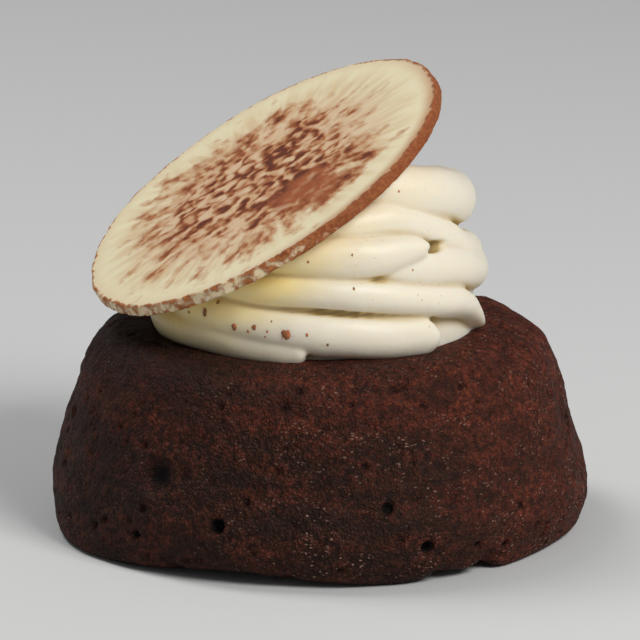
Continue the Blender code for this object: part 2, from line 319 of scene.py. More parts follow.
class NodeBench:
    """Adds shader nodes to one tree, and joins them as it goes."""

    def __init__(self, tree: bpy.types.NodeTree) -> None:
        """Keep the tree that the nodes go into.

        Args:
            tree: a material's or a group's tree.
        """
        self.tree = tree

    def put(self, target: Socket, value: Value) -> None:
        """Join a socket to a target, or set a plain value there.

        Args:
            target: the input to feed.
            value: an output socket, or the value itself.
        """
        if isinstance(value, Socket):
            self.tree.links.new(value, target)
        else:
            target.default_value = value

    def add(self, kind: str, values: dict[str | int, Value], **settings: Setting) -> bpy.types.Node:
        """Add a node.

        Args:
            kind: its type, without the leading ShaderNode.
            values: what goes into its inputs, by name or number.
            settings: its own settings, by name.

        Returns:
            The node.
        """
        node = self.tree.nodes.new("ShaderNode" + kind)
        for name, setting in settings.items():
            setattr(node, name, setting)
        for name, value in values.items():
            self.put(node.inputs[name], value)
        return node

    def maths(self, operation: str, *values: Value) -> Socket:
        """Add a Math node, and return its result.

        Args:
            operation: what it does.
            values: its inputs, in order.

        Returns:
            The result's socket.
        """
        return self.add("Math", dict(enumerate(values)), operation=operation).outputs[0]

    def times(self, first: Value, second: Value) -> Socket:
        """Return the product of two values."""
        return self.maths("MULTIPLY", first, second)

    def plus(self, first: Value, second: Value) -> Socket:
        """Return the sum of two values."""
        return self.maths("ADD", first, second)

    def minus(self, first: Value, second: Value) -> Socket:
        """Return the first value less the second."""
        return self.maths("SUBTRACT", first, second)

    def vector(self, operation: str, first: Value, second: Value) -> bpy.types.Node:
        """Add a Vector Math node that works on two vectors, and return it."""
        return self.add("VectorMath", {0: first, 1: second}, operation=operation)

    def parts(self, vector: Value) -> bpy.types.NodeOutputs:
        """Return the X, Y and Z of a vector, by name."""
        return self.add("SeparateXYZ", {"Vector": vector}).outputs

    def ease(self, value: Value, ramp: Ramp) -> Socket:
        """Ease a value along a ramp.

        Args:
            value: what to ease.
            ramp: where the change starts and ends, and what it gives there.

        Returns:
            The result's socket.
        """
        inputs = {"Value": value, "From Min": ramp.start, "From Max": ramp.end}
        inputs |= {"To Min": ramp.low, "To Max": ramp.high}
        return self.add("MapRange", inputs, interpolation_type="SMOOTHSTEP").outputs["Result"]

    def blend(self, share: Value, first: Value, second: Value) -> Socket:
        """Blend two colours.

        Args:
            share: how much of the second one.
            first: a colour.
            second: the other one.

        Returns:
            The blended colour's socket.
        """
        inputs = {0: share, 6: first, 7: second}
        return self.add("Mix", inputs, data_type="RGBA").outputs[2]

    def clouds(self, where: Value, scale: Value, detail: float = 2.0, roughness: Value = 0.5) -> Socket:
        """Add a noise texture, and return its value.

        Args:
            where: the coordinates.
            scale: how many bumps it has to a unit of them.
            detail: how many ever finer layers.
            roughness: how strong those are.

        Returns:
            The value's socket, about 0.3 to 0.7.
        """
        values = {"Vector": where, "Scale": scale, "Detail": detail, "Roughness": roughness}
        return self.add("TexNoise", values).outputs["Fac"]

    def on_level(self, flat: Flat, level: float) -> Socket:
        """Return coordinates with the two given parts, at that level of a noise."""
        return self.add("CombineXYZ", {"X": flat[0], "Y": flat[1], "Z": level}).outputs[0]

    def flattened(self, where: Value, flatness: float) -> Socket:
        """Return coordinates that make a pattern that many times as wide as it is high."""
        return self.vector("MULTIPLY", where, (1.0, 1.0, flatness)).outputs[0]

    def stirred(self, where: Value, scale: float, reach: float) -> Socket:
        """Shift coordinates to and fro, so that what is drawn with them looks stirred.

        Args:
            where: the coordinates.
            scale: how many swirls there are to a unit of them.
            reach: how far they are shifted.

        Returns:
            The stirred coordinates' socket.
        """
        swirls = self.add("TexNoise", {"Vector": where, "Scale": scale, "Detail": 1.0})
        to_and_fro = self.vector("SUBTRACT", swirls.outputs["Color"], (0.5, 0.5, 0.5))
        inputs = {0: to_and_fro.outputs[0], "Scale": 2.0 * reach}
        shift = self.add("VectorMath", inputs, operation="SCALE")
        return self.vector("ADD", where, shift.outputs[0]).outputs[0]

    def span(self, across: Value, along: Value) -> Socket:
        """Return the length of a flat vector, given its two parts."""
        return self.maths("SQRT", self.plus(self.times(across, across), self.times(along, along)))

    def rays(self, flat: Flat, out: Value, count: float, length: float) -> Socket:
        """Add a noise that is drawn out into rays from the middle of a round face.

        Args:
            flat: the two shares across the face.
            out: the distance from the middle, as a share of the radius.
            count: how closely the rays stand.
            length: how long they are, as a share of the radius.

        Returns:
            The value's socket, about 0.3 to 0.7.
        """
        safe = self.maths("MAXIMUM", out, 0.02)
        ways = [self.times(self.maths("DIVIDE", part, safe), count) for part in flat]
        along = self.maths("DIVIDE", out, length)
        where = self.add("CombineXYZ", {"X": ways[0], "Y": ways[1], "Z": along}).outputs[0]
        return self.clouds(where, 1.0, detail=4.0)

    def kept(self, name: str) -> Socket:
        """Return the numbers kept in the mesh under a name."""
        return self.add("Attribute", {}, attribute_name=name).outputs["Fac"]

    def here(self) -> Socket:
        """Return the place on the object, in metres."""
        return self.add("TexCoord", {}).outputs["Object"]

    def relief(self, height: Value, depth: float, under: Value | None = None) -> Socket:
        """Add a Bump node, and return its normal.

        Args:
            height: the relief's height, from 0 to 1.
            depth: how deep it is in metres.
            under: the normal of a coarser relief under this one.

        Returns:
            The normal's socket.
        """
        inputs = {"Height": height, "Distance": depth, "Strength": 1.0}
        if under is not None:
            inputs["Normal"] = under
        return self.add("Bump", inputs).outputs["Normal"]


class Effects:
    """The effects that more than one material uses, each a node group that is made once."""

    @staticmethod
    def _group(name: str, inputs: dict[str, str], output: str) -> tuple[bpy.types.NodeTree, bool]:
        """Return the group of that name, making it where there is none yet.

        Args:
            name: the group's name.
            inputs: the kind of each input socket, by name.
            output: the name of its one output, a number.

        Returns:
            The group, and whether it is new.
        """
        group = bpy.data.node_groups.get(name)
        if group:
            return group, False
        group = bpy.data.node_groups.new(name, "ShaderNodeTree")
        for key, kind in inputs.items():
            group.interface.new_socket(name=key, in_out="INPUT", socket_type=kind)
        group.interface.new_socket(name=output, in_out="OUTPUT", socket_type="NodeSocketFloat")
        group.nodes.new("NodeGroupInput")
        group.nodes.new("NodeGroupOutput")
        return group, True

    @staticmethod
    def _use(bench: NodeBench, group: bpy.types.NodeTree, values: dict[str, Value]) -> Socket:
        """Place a group in a material.

        Args:
            bench: the material's bench.
            group: the group to place.
            values: what goes into its inputs, by name.

        Returns:
            The group's output socket.
        """
        node = bench.add("Group", {}, node_tree=group)
        for name, value in values.items():
            bench.put(node.inputs[name], value)
        return node.outputs[0]

    @classmethod
    def patches(cls, bench: NodeBench, where: Value, size: float) -> Socket:
        """Return soft patches, from 0 to 1.

        Args:
            bench: the material's bench.
            where: the coordinates, in metres.
            size: how far apart the patches are.

        Returns:
            The patches' socket.
        """
        inputs = {"Coordinates": "NodeSocketVector", "Size": "NodeSocketFloat"}
        group, new = cls._group("soft_patches", inputs, "Patches")
        if new:
            inner = NodeBench(group)
            given = group.nodes["Group Input"].outputs
            scale = inner.maths("DIVIDE", 1.0, given["Size"])
            value = inner.clouds(given["Coordinates"], scale, detail=3.0, roughness=0.55)
            edges = Ramp(0.34, 0.66)
            inner.put(group.nodes["Group Output"].inputs["Patches"], inner.ease(value, edges))
        return cls._use(bench, group, {"Coordinates": where, "Size": size})

    @classmethod
    def grain(cls, bench: NodeBench, where: Value, size: float, roughness: float) -> Socket:
        """Return the height of a fine grain, from 0 to 1.

        Args:
            bench: the material's bench.
            where: the coordinates, in metres.
            size: how far apart the grains are.
            roughness: how strong its finer layers are.

        Returns:
            The height's socket.
        """
        inputs = {"Coordinates": "NodeSocketVector", "Size": "NodeSocketFloat"}
        inputs["Roughness"] = "NodeSocketFloat"
        group, new = cls._group("fine_grain", inputs, "Height")
        if new:
            inner = NodeBench(group)
            given = group.nodes["Group Input"].outputs
            scale = inner.maths("DIVIDE", 1.0, given["Size"])
            value = inner.clouds(given["Coordinates"], scale, detail=4.0, roughness=given["Roughness"])
            inner.put(group.nodes["Group Output"].inputs["Height"], value)
        return cls._use(bench, group, {"Coordinates": where, "Size": size, "Roughness": roughness})


def new_material(name: str) -> tuple[bpy.types.Material, NodeBench, bpy.types.Node]:
    """Start a material.

    Args:
        name: its name.

    Returns:
        The material, a bench for its nodes, and its Principled node.
    """
    material = bpy.data.materials.new(name)
    material.use_nodes = True
    return material, NodeBench(material.node_tree), material.node_tree.nodes["Principled BSDF"]


@dataclass(frozen=True)
class Glow:
    """How light spreads inside a pale, fatty food."""

    weight: float
    depth: float
    reach: tuple[float, float, float]

    def give(self, shader: bpy.types.Node) -> None:
        """Set it on a material.

        Args:
            shader: the material's Principled node.
        """
        shader.inputs["Subsurface Weight"].default_value = self.weight
        shader.inputs["Subsurface Radius"].default_value = self.reach
        shader.inputs["Subsurface Scale"].default_value = self.depth


@dataclass(frozen=True)
class SpongeFinish:
    """Soaked dark chocolate sponge: a fine crumb of moist grains, with painted glints, painted light
    towards the top and the right, and painted shade in its hollows and under the disc.
    """

    deep: Colour = colour(28, 15, 9)
    brown: Colour = colour(54, 31, 21)
    ruddy: Colour = colour(114, 51, 33)
    # Painted shade: the colour that the pits are darkened to, by how hollow they are.
    pore: Colour = colour(10, 5, 4)
    # Painted highlight: the pale colour of the glints.
    painted_glint: Colour = colour(154, 120, 104)
    patch_size: float = 9.0 * MM
    patch_flatness: float = 2.4
    patch_cover: float = 0.5
    # Painted light: how much ruddier and lighter the top shoulder and the right side are, where the key
    # light falls.
    lit_shoulder: Ramp = Ramp(17.0 * MM, 26.0 * MM, 0.0, 0.3)
    lit_side: Ramp = Ramp(10.0 * MM, 36.0 * MM, 0.0, 0.4)
    lit_cover: float = 0.2
    # Painted shadow of the disc: darker on the top of the left side.
    shadow_side: Ramp = Ramp(-4.0 * MM, -19.0 * MM)
    shadow_top: Ramp = Ramp(21.0 * MM, 29.0 * MM)
    shadow_cover: float = 0.75
    streak_size: float = 8.0 * MM
    streak_flatness: float = 4.0
    streak_shade: Ramp = Ramp(0.4, 0.62, 0.45, 0.0)
    crumb_size: float = 1.2 * MM
    # Painted shade: darker in the low parts of the crumb's relief.
    crumb_shade: Ramp = Ramp(0.34, 0.6, 0.9, 0.0)
    crumb_relief: float = 0.3 * MM
    crumb_roughness: float = 0.6
    grain_size: float = 0.5 * MM
    # Painted shade between the raised grains.
    grain_shade: Ramp = Ramp(0.3, 0.8, 0.0, 0.75)
    grain_rise: Ramp = Ramp(0.0, 0.9, 1.0, 0.0)
    grain_relief: float = 0.22 * MM
    pore_shade: Ramp = Ramp(0.2, 0.9)
    glint_size: float = 0.6 * MM
    glint_flatness: float = 1.7
    glint_stir: tuple[float, float] = (1.5, 0.6)
    glint_share: Ramp = Ramp(0.0, 1.0, 0.12, 0.42)
    glint_edge: Ramp = Ramp(-0.16, 0.04, 1.0, 0.0)
    glint_brightness: Ramp = Ramp(0.25, 1.0, 0.05, 0.8)
    # Fewer painted glints on the left, away from the key light.
    glint_side: Ramp = Ramp(-22.0 * MM, 2.0 * MM, 0.35, 1.0)
    cluster_size: float = 6.0 * MM
    cluster_shade: Ramp = Ramp(0.42, 0.62, 0.2, 1.0)
    gloss: Ramp = Ramp(0.0, 1.0, 0.7, 0.25)
    specular: float = 0.14

    def material(self) -> bpy.types.Material:
        """Return the sponge's material.

        Returns:
            The material.
        """
        material, bench, shader = new_material("soaked_sponge")
        where = bench.here()
        place = bench.parts(where)
        crumb = Effects.grain(bench, where, self.crumb_size, self.crumb_roughness)
        uneven = bench.stirred(where, 1.0 / self.crumb_size, self.grain_size)
        cells = bench.add("TexVoronoi", {"Vector": uneven, "Scale": 1.0 / self.grain_size})
        grains = cells.outputs["Distance"]
        base = self._crumb(bench, where, crumb, grains)
        # Painted highlights: pale glints in the base colour, fewer on the left.
        glints = bench.times(self._glints(bench, where), bench.ease(place["X"], self.glint_side))
        base = bench.blend(glints, base, self.painted_glint)
        # Painted shade: the pits darkened by how hollow they are.
        base = bench.blend(bench.ease(bench.kept("hollow"), self.pore_shade), base, self.pore)
        bench.put(shader.inputs["Base Color"], base)
        bench.put(shader.inputs["Roughness"], bench.ease(glints, self.gloss))
        shader.inputs["Specular IOR Level"].default_value = self.specular
        coarse = bench.relief(crumb, self.crumb_relief)
        fine = bench.relief(bench.ease(grains, self.grain_rise), self.grain_relief, coarse)
        bench.put(shader.inputs["Normal"], fine)
        return material

    def _crumb(self, bench: NodeBench, where: Value, crumb: Value, grains: Value) -> Socket:
        """Return the crumb's colour: ruddy patches and dark streaks, ruddier towards the top and the right
        as painted light, and darker in the relief's hollows, between the grains and under the disc on the
        left as painted shade.

        Args:
            bench: the material's bench.
            where: the coordinates, in metres.
            crumb: the coarse crumb's height.
            grains: the distance from the middle of each fine grain.

        Returns:
            The colour's socket.
        """
        place = bench.parts(where)
        # Painted light: more of the ruddy tone towards the top shoulder and the right side.
        shoulder = bench.ease(place["Z"], self.lit_shoulder)
        lit_share = bench.plus(shoulder, bench.ease(place["X"], self.lit_side))
        banded = bench.flattened(where, self.patch_flatness)
        patches = bench.times(Effects.patches(bench, banded, self.patch_size), self.patch_cover)
        base = bench.blend(bench.plus(patches, lit_share), self.brown, self.ruddy)
        drawn = bench.flattened(where, self.streak_flatness)
        streaks = bench.clouds(drawn, 1.0 / self.streak_size, roughness=self.crumb_roughness)
        base = bench.blend(bench.ease(streaks, self.streak_shade), base, self.deep)
        # Painted shade: darker in the crumb's hollows and between the grains.
        base = bench.blend(bench.ease(crumb, self.crumb_shade), base, self.deep)
        base = bench.blend(bench.ease(grains, self.grain_shade), base, self.deep)
        # Painted light: a little more ruddy tone again towards the top and the right.
        base = bench.blend(bench.times(lit_share, self.lit_cover), base, self.ruddy)
        # Painted shadow of the disc: darker on the top of the left side.
        side = bench.ease(place["X"], self.shadow_side)
        painted_shade = bench.times(side, bench.ease(place["Z"], self.shadow_top))
        return bench.blend(bench.times(painted_shade, self.shadow_cover), base, self.deep)

    def _glints(self, bench: NodeBench, where: Value) -> Socket:
        """Return the painted highlights: tiny pale glints, as light on the syrup and fat of the grains.

        Args:
            bench: the material's bench.
            where: the coordinates, in metres.

        Returns:
            Where a glint shows, from 0 to 1.
        """
        flat = bench.flattened(where, self.glint_flatness)
        closeness, reach = self.glint_stir
        uneven = bench.stirred(flat, closeness / self.glint_size, reach * self.glint_size)
        cells = bench.add("TexVoronoi", {"Vector": uneven, "Scale": 1.0 / self.glint_size})
        chance = bench.parts(cells.outputs["Color"])
        size = bench.ease(chance["X"], self.glint_share)
        spot = bench.ease(bench.minus(cells.outputs["Distance"], size), self.glint_edge)
        clusters = bench.clouds(where, 1.0 / self.cluster_size)
        clustered = bench.ease(clusters, self.cluster_shade)
        bright = bench.times(bench.ease(chance["Y"], self.glint_brightness), clustered)
        return bench.times(spot, bright)


@dataclass(frozen=True)
class CreamFinish:
    """Whipped mascarpone cream: pale, with painted warm shade under the disc, painted shade in its folds
    and gaps and on the left of its foot, and cocoa dust.
    """

    pale: Colour = colour(234, 225, 205)
    # Painted warm shade close under the disc, on the low side.
    warm_shade: Colour = colour(240, 216, 142)
    # Painted shade in the folds and, darker, in the gaps between ribs.
    fold: Colour = colour(208, 181, 122)
    gap: Colour = colour(158, 134, 86)
    # Painted shade on the left of the foot.
    painted_shade: Colour = colour(190, 172, 126)
    # Where the painted warm shade lies: near the disc and on the low side.
    by_disc: Ramp = Ramp(-9.5 * MM, -3.0 * MM)
    low_side: Ramp = Ramp(9.0 * MM, -8.0 * MM, 0.15, 1.0)
    patch_size: float = 8.0 * MM
    patch_tint: Ramp = Ramp(0.0, 1.0, 0.75, 1.0)
    # Where the painted shade at the foot lies.
    foot: Ramp = Ramp(35.5 * MM, 31.5 * MM)
    foot_side: Ramp = Ramp(2.0 * MM, -16.0 * MM)
    foot_cover: float = 0.6
    # How the fold depth sets the painted shade in the folds and gaps.
    fold_tint: Ramp = Ramp(0.1, 0.9)
    fold_line: Ramp = Ramp(0.6, 1.0, 0.0, 0.45)
    gap_tint: Ramp = Ramp(1.0, 1.9)
    cocoa: Colour = colour(130, 84, 56)
    dust_size: float = 1.6 * MM
    dust_amount: float = 0.12
    dust_clumps: Ramp = Ramp(0.3, 0.7, 0.2, 1.0)
    clump_size: float = 8.0 * MM
    dust_edge: Ramp = Ramp(-0.1, 0.06, 1.0, 0.0)
    dust_cover: float = 0.35
    ripple_size: float = 1.3 * MM
    ripple_relief: float = 0.05 * MM
    ripple_roughness: float = 0.4
    roughness: float = 0.42
    specular: float = 0.35
    glow: Glow = Glow(0.6, 2.2 * MM, (1.0, 0.75, 0.4))

    def material(self, plane: tuple[Vector, Vector]) -> bpy.types.Material:
        """Return the cream's material.

        Args:
            plane: a point of the disc's underside and its upward normal: the painted warm shade lies close
                under it.

        Returns:
            The material.
        """
        material, bench, shader = new_material("whipped_cream")
        where = bench.here()
        place = bench.parts(where)
        # Painted warm shade: yellower close under the disc, on the low side.
        from_disc = bench.vector("SUBTRACT", where, plane[0]).outputs[0]
        level = bench.vector("DOT_PRODUCT", from_disc, plane[1]).outputs["Value"]
        near = bench.times(bench.ease(level, self.by_disc), bench.ease(place["X"], self.low_side))
        patches = Effects.patches(bench, where, self.patch_size)
        base = bench.blend(bench.times(near, bench.ease(patches, self.patch_tint)), self.pale, self.warm_shade)
        # Painted shade on the left of the foot.
        painted_shade = bench.times(bench.ease(place["Z"], self.foot), bench.ease(place["X"], self.foot_side))
        base = bench.blend(bench.times(painted_shade, self.foot_cover), base, self.painted_shade)
        # Painted shade in the folds, darker still in the gaps.
        fold = bench.kept("fold")
        base = bench.blend(bench.ease(fold, self.fold_tint), base, self.fold)
        base = bench.blend(bench.ease(fold, self.fold_line), base, self.gap)
        base = bench.blend(bench.ease(fold, self.gap_tint), base, self.gap)
        base = bench.blend(bench.times(self._dust(bench, where), self.dust_cover), base, self.cocoa)
        bench.put(shader.inputs["Base Color"], base)
        shader.inputs["Roughness"].default_value = self.roughness
        shader.inputs["Specular IOR Level"].default_value = self.specular
        self.glow.give(shader)
        ripples = Effects.grain(bench, where, self.ripple_size, self.ripple_roughness)
        bench.put(shader.inputs["Normal"], bench.relief(ripples, self.ripple_relief))
        return material

    def _dust(self, bench: NodeBench, where: Value) -> Socket:
        """Return the cocoa dust: tiny round specks, strewn in clumps.

        Args:
            bench: the material's bench.
            where: the coordinates, in metres.

        Returns:
            Where it shows, from 0 to 1.
        """
        cells = bench.add("TexVoronoi", {"Vector": where, "Scale": 1.0 / self.dust_size})
        clumps = bench.clouds(where, 1.0 / self.clump_size)
        reach = bench.times(bench.ease(clumps, self.dust_clumps), self.dust_amount)
        return bench.ease(bench.minus(cells.outputs["Distance"], reach), self.dust_edge)


@dataclass(frozen=True)
class DiscFinish:
    """White chocolate with cocoa set in it: a net of strands, rays outside it and a brown rim.

    Places on the face, and distances from its middle, are shares of the radius.
    """

    pale: Colour = colour(240, 228, 190)
    tan: Colour = colour(222, 193, 148)
    blush: Colour = colour(220, 182, 146)
    light_cocoa: Colour = colour(192, 134, 88)
    cocoa: Colour = colour(152, 84, 46)
    dark_cocoa: Colour = colour(100, 47, 28)
    blot: Colour = colour(164, 90, 52)
    rim: Colour = colour(132, 70, 38)
    light_rim: Colour = colour(186, 120, 70)
    haze_rays: float = 14.0
    haze_length: float = 0.25
    haze_shade: Ramp = Ramp(0.36, 0.64)
    haze_reach: Ramp = Ramp(0.75, 0.95, 0.8, 0.15)
    blush_reach: Ramp = Ramp(0.4, 0.9, 0.75, 0.0)
    thin_cocoa: Ramp = Ramp(-2.0, 0.7, 0.0, 0.85)
    full_cocoa: Ramp = Ramp(-0.2, 1.5)
    thick_cocoa: Ramp = Ramp(1.0, 2.6)
    strand_size: float = 3.3 * MM
    strand_share: float = 0.4
    strand_top: float = 0.62
    strand_sharpness: float = 2.0
    blot_size: float = 1.7 * MM
    softness: float = 0.4
    stir: float = 0.9 * MM
    stir_size: float = 2.25 * MM
    net_level: float = 3.7
    ray_count: float = 7.0
    ray_length: float = 0.16
    ray_share: float = 0.78
    middle: Ramp = Ramp(0.38, 0.68)
    drifts: float = 2.2
    drift_strength: float = 0.32
    bare: Ramp = Ramp(0.3, 0.7, 0.452, 0.518)
    bare_edge: Ramp = Ramp(0.62, 1.0, 0.0, 0.2)
    bare_top: Ramp = Ramp(-0.25, -0.9, 0.0, 0.09)
    contrast: float = 16.0
    dense_spot: tuple[float, float] = (-0.08, 0.46)
    dense_reach: Ramp = Ramp(0.0, 0.4, 0.12, 0.0)
    blot_reach: Ramp = Ramp(0.1, 0.24, 0.8, 0.0)
    blot_level: float = 8.1
    blot_bays: float = 7.0
    blot_raggedness: float = 0.5
    brown_side: tuple[float, float] = (-0.64, 0.77)
    browner: Ramp = Ramp(0.3, 1.0, 0.22, 1.0)
    dusted_edge: Ramp = Ramp(0.9, 0.99, 0.0, 0.85)
    rim_start: Ramp = Ramp(0.975, 0.99)
    rim_end: Ramp = Ramp(1.07, 1.09, 1.0, 0.0)
    rim_middle: float = 1.0275
    rim_thin: Ramp = Ramp(0.0085, 0.03825, 0.1, 0.0)
    rim_patch: float = 1.4 * MM
    rim_wander: float = 0.06
    rim_cover: Ramp = Ramp(0.4, 0.6)
    rim_lean: float = 0.3
    rim_speckle: float = 0.7 * MM
    speckle_shade: Ramp = Ramp(0.4, 0.65)
    lighter_side: Ramp = Ramp(0.3, 0.95, 1.0, 0.35)
    dusty: Ramp = Ramp(-0.2, 0.8)
    gloss: Ramp = Ramp(0.0, 1.0, 0.4, 0.72)
    specular: float = 0.2
    glow: Glow = Glow(0.25, 1.0 * MM, (1.0, 0.7, 0.35))
    dust_size: float = 0.6 * MM
    dust_relief: float = 0.05 * MM
    roughness: float = 0.6

    def material(self, radius: float) -> bpy.types.Material:
        """Return the disc's material.

        Args:
            radius: the disc's radius, which the distances kept in the mesh are shares of.

        Returns:
            The material.
        """
        material, bench, shader = new_material("cocoa_streaked_chocolate")
        flat = bench.kept("flat_x"), bench.kept("flat_y")
        out = bench.span(*flat)
        cocoa = self._cocoa(bench, flat, out, radius)
        base = bench.blend(self._haze(bench, flat, out), self.pale, self.tan)
        base = bench.blend(bench.ease(out, self.blush_reach), base, self.blush)
        base = bench.blend(bench.ease(cocoa, self.thin_cocoa), base, self.light_cocoa)
        base = bench.blend(bench.ease(cocoa, self.full_cocoa), base, self.cocoa)
        base = bench.blend(bench.ease(cocoa, self.thick_cocoa), base, self.dark_cocoa)
        base = bench.blend(self._blot(bench, flat), base, self.blot)
        lean = self._browner(bench, flat)
        base = bench.blend(bench.times(bench.ease(out, self.dusted_edge), lean), base, self.light_cocoa)
        crust = self._crust(bench, out, lean)
        toasted = Effects.grain(bench, bench.here(), self.rim_speckle, self.roughness)
        speckles = bench.ease(toasted, self.speckle_shade)
        lighter = bench.times(speckles, bench.ease(lean, self.lighter_side))
        base = bench.blend(crust, base, bench.blend(lighter, self.rim, self.light_rim))
        bench.put(shader.inputs["Base Color"], base)
        dusty = bench.maths("MAXIMUM", bench.ease(cocoa, self.dusty), crust)
        bench.put(shader.inputs["Roughness"], bench.ease(dusty, self.gloss))
        shader.inputs["Specular IOR Level"].default_value = self.specular
        self.glow.give(shader)
        grain = Effects.grain(bench, bench.here(), self.dust_size, self.roughness)
        height = bench.plus(dusty, bench.times(grain, dusty))
        bench.put(shader.inputs["Normal"], bench.relief(height, self.dust_relief))
        return material

    def _cocoa(self, bench: NodeBench, flat: Flat, out: Value, radius: float) -> Socket:
        """Return how thick the cocoa lies on the face.

        Args:
            bench: the material's bench.
            flat: the two shares across the face.
            out: the distance from the middle, as a share of the radius.
            radius: the disc's radius.

        Returns:
            The thickness: none below 0, and dark from about 2.
        """
        plain = bench.on_level(flat, self.net_level)
        across = bench.stirred(plain, radius / self.stir_size, self.stir / radius)
        folded = bench.clouds(across, radius / self.strand_size, detail=1.0, roughness=self.softness)
        off_strand = bench.maths("ABSOLUTE", bench.minus(folded, 0.5))
        strands = bench.minus(self.strand_top, bench.times(off_strand, self.strand_sharpness))
        blots = bench.clouds(across, radius / self.blot_size, detail=1.0, roughness=self.softness)
        net = self._mixed(bench, self.strand_share, strands, blots)
        rays = bench.rays(flat, out, self.ray_count, self.ray_length)
        streaks = self._mixed(bench, self.ray_share, rays, blots)
        outside = bench.ease(out, self.middle)
        kept = bench.times(net, bench.minus(1.0, outside))
        value = bench.plus(kept, bench.times(streaks, outside))
        drifts = bench.minus(bench.clouds(plain, self.drifts, detail=1.0), 0.5)
        value = bench.plus(value, bench.times(drifts, self.drift_strength))
        value = bench.plus(value, bench.ease(self._from_spot(bench, flat), self.dense_reach))
        bare = bench.plus(bench.ease(out, self.bare), bench.ease(out, self.bare_edge))
        bare = bench.plus(bare, bench.ease(flat[0], self.bare_top))
        return bench.times(bench.minus(value, bare), self.contrast)

    @staticmethod
    def _mixed(bench: NodeBench, share: float, first: Value, second: Value) -> Socket:
        """Return a share of the first value and the rest of the second."""
        return bench.plus(bench.times(first, share), bench.times(second, 1.0 - share))

    def _from_spot(self, bench: NodeBench, flat: Flat) -> Socket:
        """Return the distance from the spot where the cocoa lies thickest."""
        return bench.span(*[bench.minus(part, place) for part, place in zip(flat, self.dense_spot)])

    def _blot(self, bench: NodeBench, flat: Flat) -> Socket:
        """Return the smooth blot of cocoa that has run together at the thickest spot.

        Args:
            bench: the material's bench.
            flat: the two shares across the face.

        Returns:
            How much of the blot shows, from 0 to 1.
        """
        bays = bench.clouds(bench.on_level(flat, self.blot_level), self.blot_bays)
        ragged = bench.times(bench.minus(bays, 0.5), self.blot_raggedness)
        return bench.ease(bench.plus(self._from_spot(bench, flat), ragged), self.blot_reach)

    def _haze(self, bench: NodeBench, flat: Flat, out: Value) -> Socket:
        """Return the thin tan haze of fine rays.

        Args:
            bench: the material's bench.
            flat: the two shares across the face.
            out: the distance from the middle, as a share of the radius.

        Returns:
            How much tan shows, from 0 to 1.
        """
        rays = bench.rays(flat, out, self.haze_rays, self.haze_length)
        return bench.times(bench.ease(rays, self.haze_shade), bench.ease(out, self.haze_reach))

    def _browner(self, bench: NodeBench, flat: Flat) -> Socket:
        """Return how brown the rim is on each side: solid on one, with pale gaps on the other.

        Args:
            bench: the material's bench.
            flat: the two shares across the face.

        Returns:
            A share from 0 to 1.
        """
        parts = [bench.times(part, way) for part, way in zip(flat, self.brown_side)]
        return bench.ease(bench.plus(*parts), self.browner)

    def _crust(self, bench: NodeBench, out: Value, lean: Value) -> Socket:
        """Return the cocoa crust of the rim.

        Args:
            bench: the material's bench.
            out: the distance along the skin from the middle, as a share of the radius.
            lean: how brown the rim is there, from 0 to 1.

        Returns:
            How much of the crust shows, from 0 to 1.
        """
        worn = Effects.grain(bench, bench.here(), self.rim_patch, self.roughness)
        side = bench.plus(out, bench.times(bench.minus(worn, 0.5), self.rim_wander))
        inner, outer = bench.ease(side, self.rim_start), bench.ease(side, self.rim_end)
        from_middle = bench.maths("ABSOLUTE", bench.minus(side, self.rim_middle))
        thin = bench.ease(from_middle, self.rim_thin)
        cover = bench.minus(bench.plus(worn, bench.times(lean, self.rim_lean)), thin)
        return bench.times(bench.times(inner, outer), bench.ease(cover, self.rim_cover))


@dataclass(frozen=True)
class CocoaFinish:
    """Cocoa crumbs: matt and brown."""

    dark: Colour = colour(138, 88, 48)
    light: Colour = colour(194, 112, 70)
    patch_size: float = 1.2 * MM
    roughness: float = 0.8

    def material(self) -> bpy.types.Material:
        """Return the cocoa's material.

        Returns:
            The material.
        """
        material, bench, shader = new_material("cocoa_crumb")
        patches = Effects.patches(bench, bench.here(), self.patch_size)
        bench.put(shader.inputs["Base Color"], bench.blend(patches, self.dark, self.light))
        shader.inputs["Roughness"].default_value = self.roughness
        return material


# Pieces


class PitShape(Enum):
    """How a pit in the crust goes down."""

    BUBBLE = 4.0
    DISH = 1.6


class Pit(NamedTuple):
    """A pit in the sponge: where it is on the crust, and its sizes in millimetres."""

    azimuth: float
    height: float
    radius: float
    depth: float
    shape: PitShape = PitShape.BUBBLE


LARGE_PITS = (
    Pit(291.7, 5.8, 1.15, 1.5),
    Pit(283.5, 12.0, 1.0, 1.2),
    Pit(246.8, 9.0, 1.3, 1.5),
    Pit(230.5, 14.6, 3.3, 1.2, PitShape.DISH),
    Pit(238.0, 15.4, 1.6, 0.6, PitShape.DISH),
    Pit(226.5, 5.4, 0.9, 0.9),
    Pit(213.3, 4.5, 0.7, 0.7),
    Pit(304.4, 4.5, 0.7, 0.9),
    Pit(312.9, 3.4, 0.8, 0.9),
    Pit(287.0, 19.9, 1.0, 0.5, PitShape.DISH),
    Pit(260.3, 26.2, 1.7, 0.8, PitShape.DISH),
    Pit(326.2, 4.6, 0.8, 0.8),
    Pit(263.3, 9.6, 1.1, 0.6, PitShape.DISH),
    Pit(317.8, 9.2, 0.8, 0.8),
    Pit(285.8, 7.4, 1.3, 0.8, PitShape.DISH),
    Pit(254.7, 14.1, 1.8, 0.5, PitShape.DISH),
    Pit(40.0, 8.0, 1.2, 1.3),
    Pit(85.0, 14.0, 1.1, 1.2),
    Pit(128.0, 6.5, 1.3, 1.4),
    Pit(165.0, 11.0, 1.0, 1.1),
    Pit(108.0, 20.0, 2.4, 0.8, PitShape.DISH),
    Pit(190.0, 18.0, 1.0, 0.9),
    Pit(12.0, 17.0, 1.0, 1.0),
    Pit(352.0, 6.0, 1.1, 1.2),
)

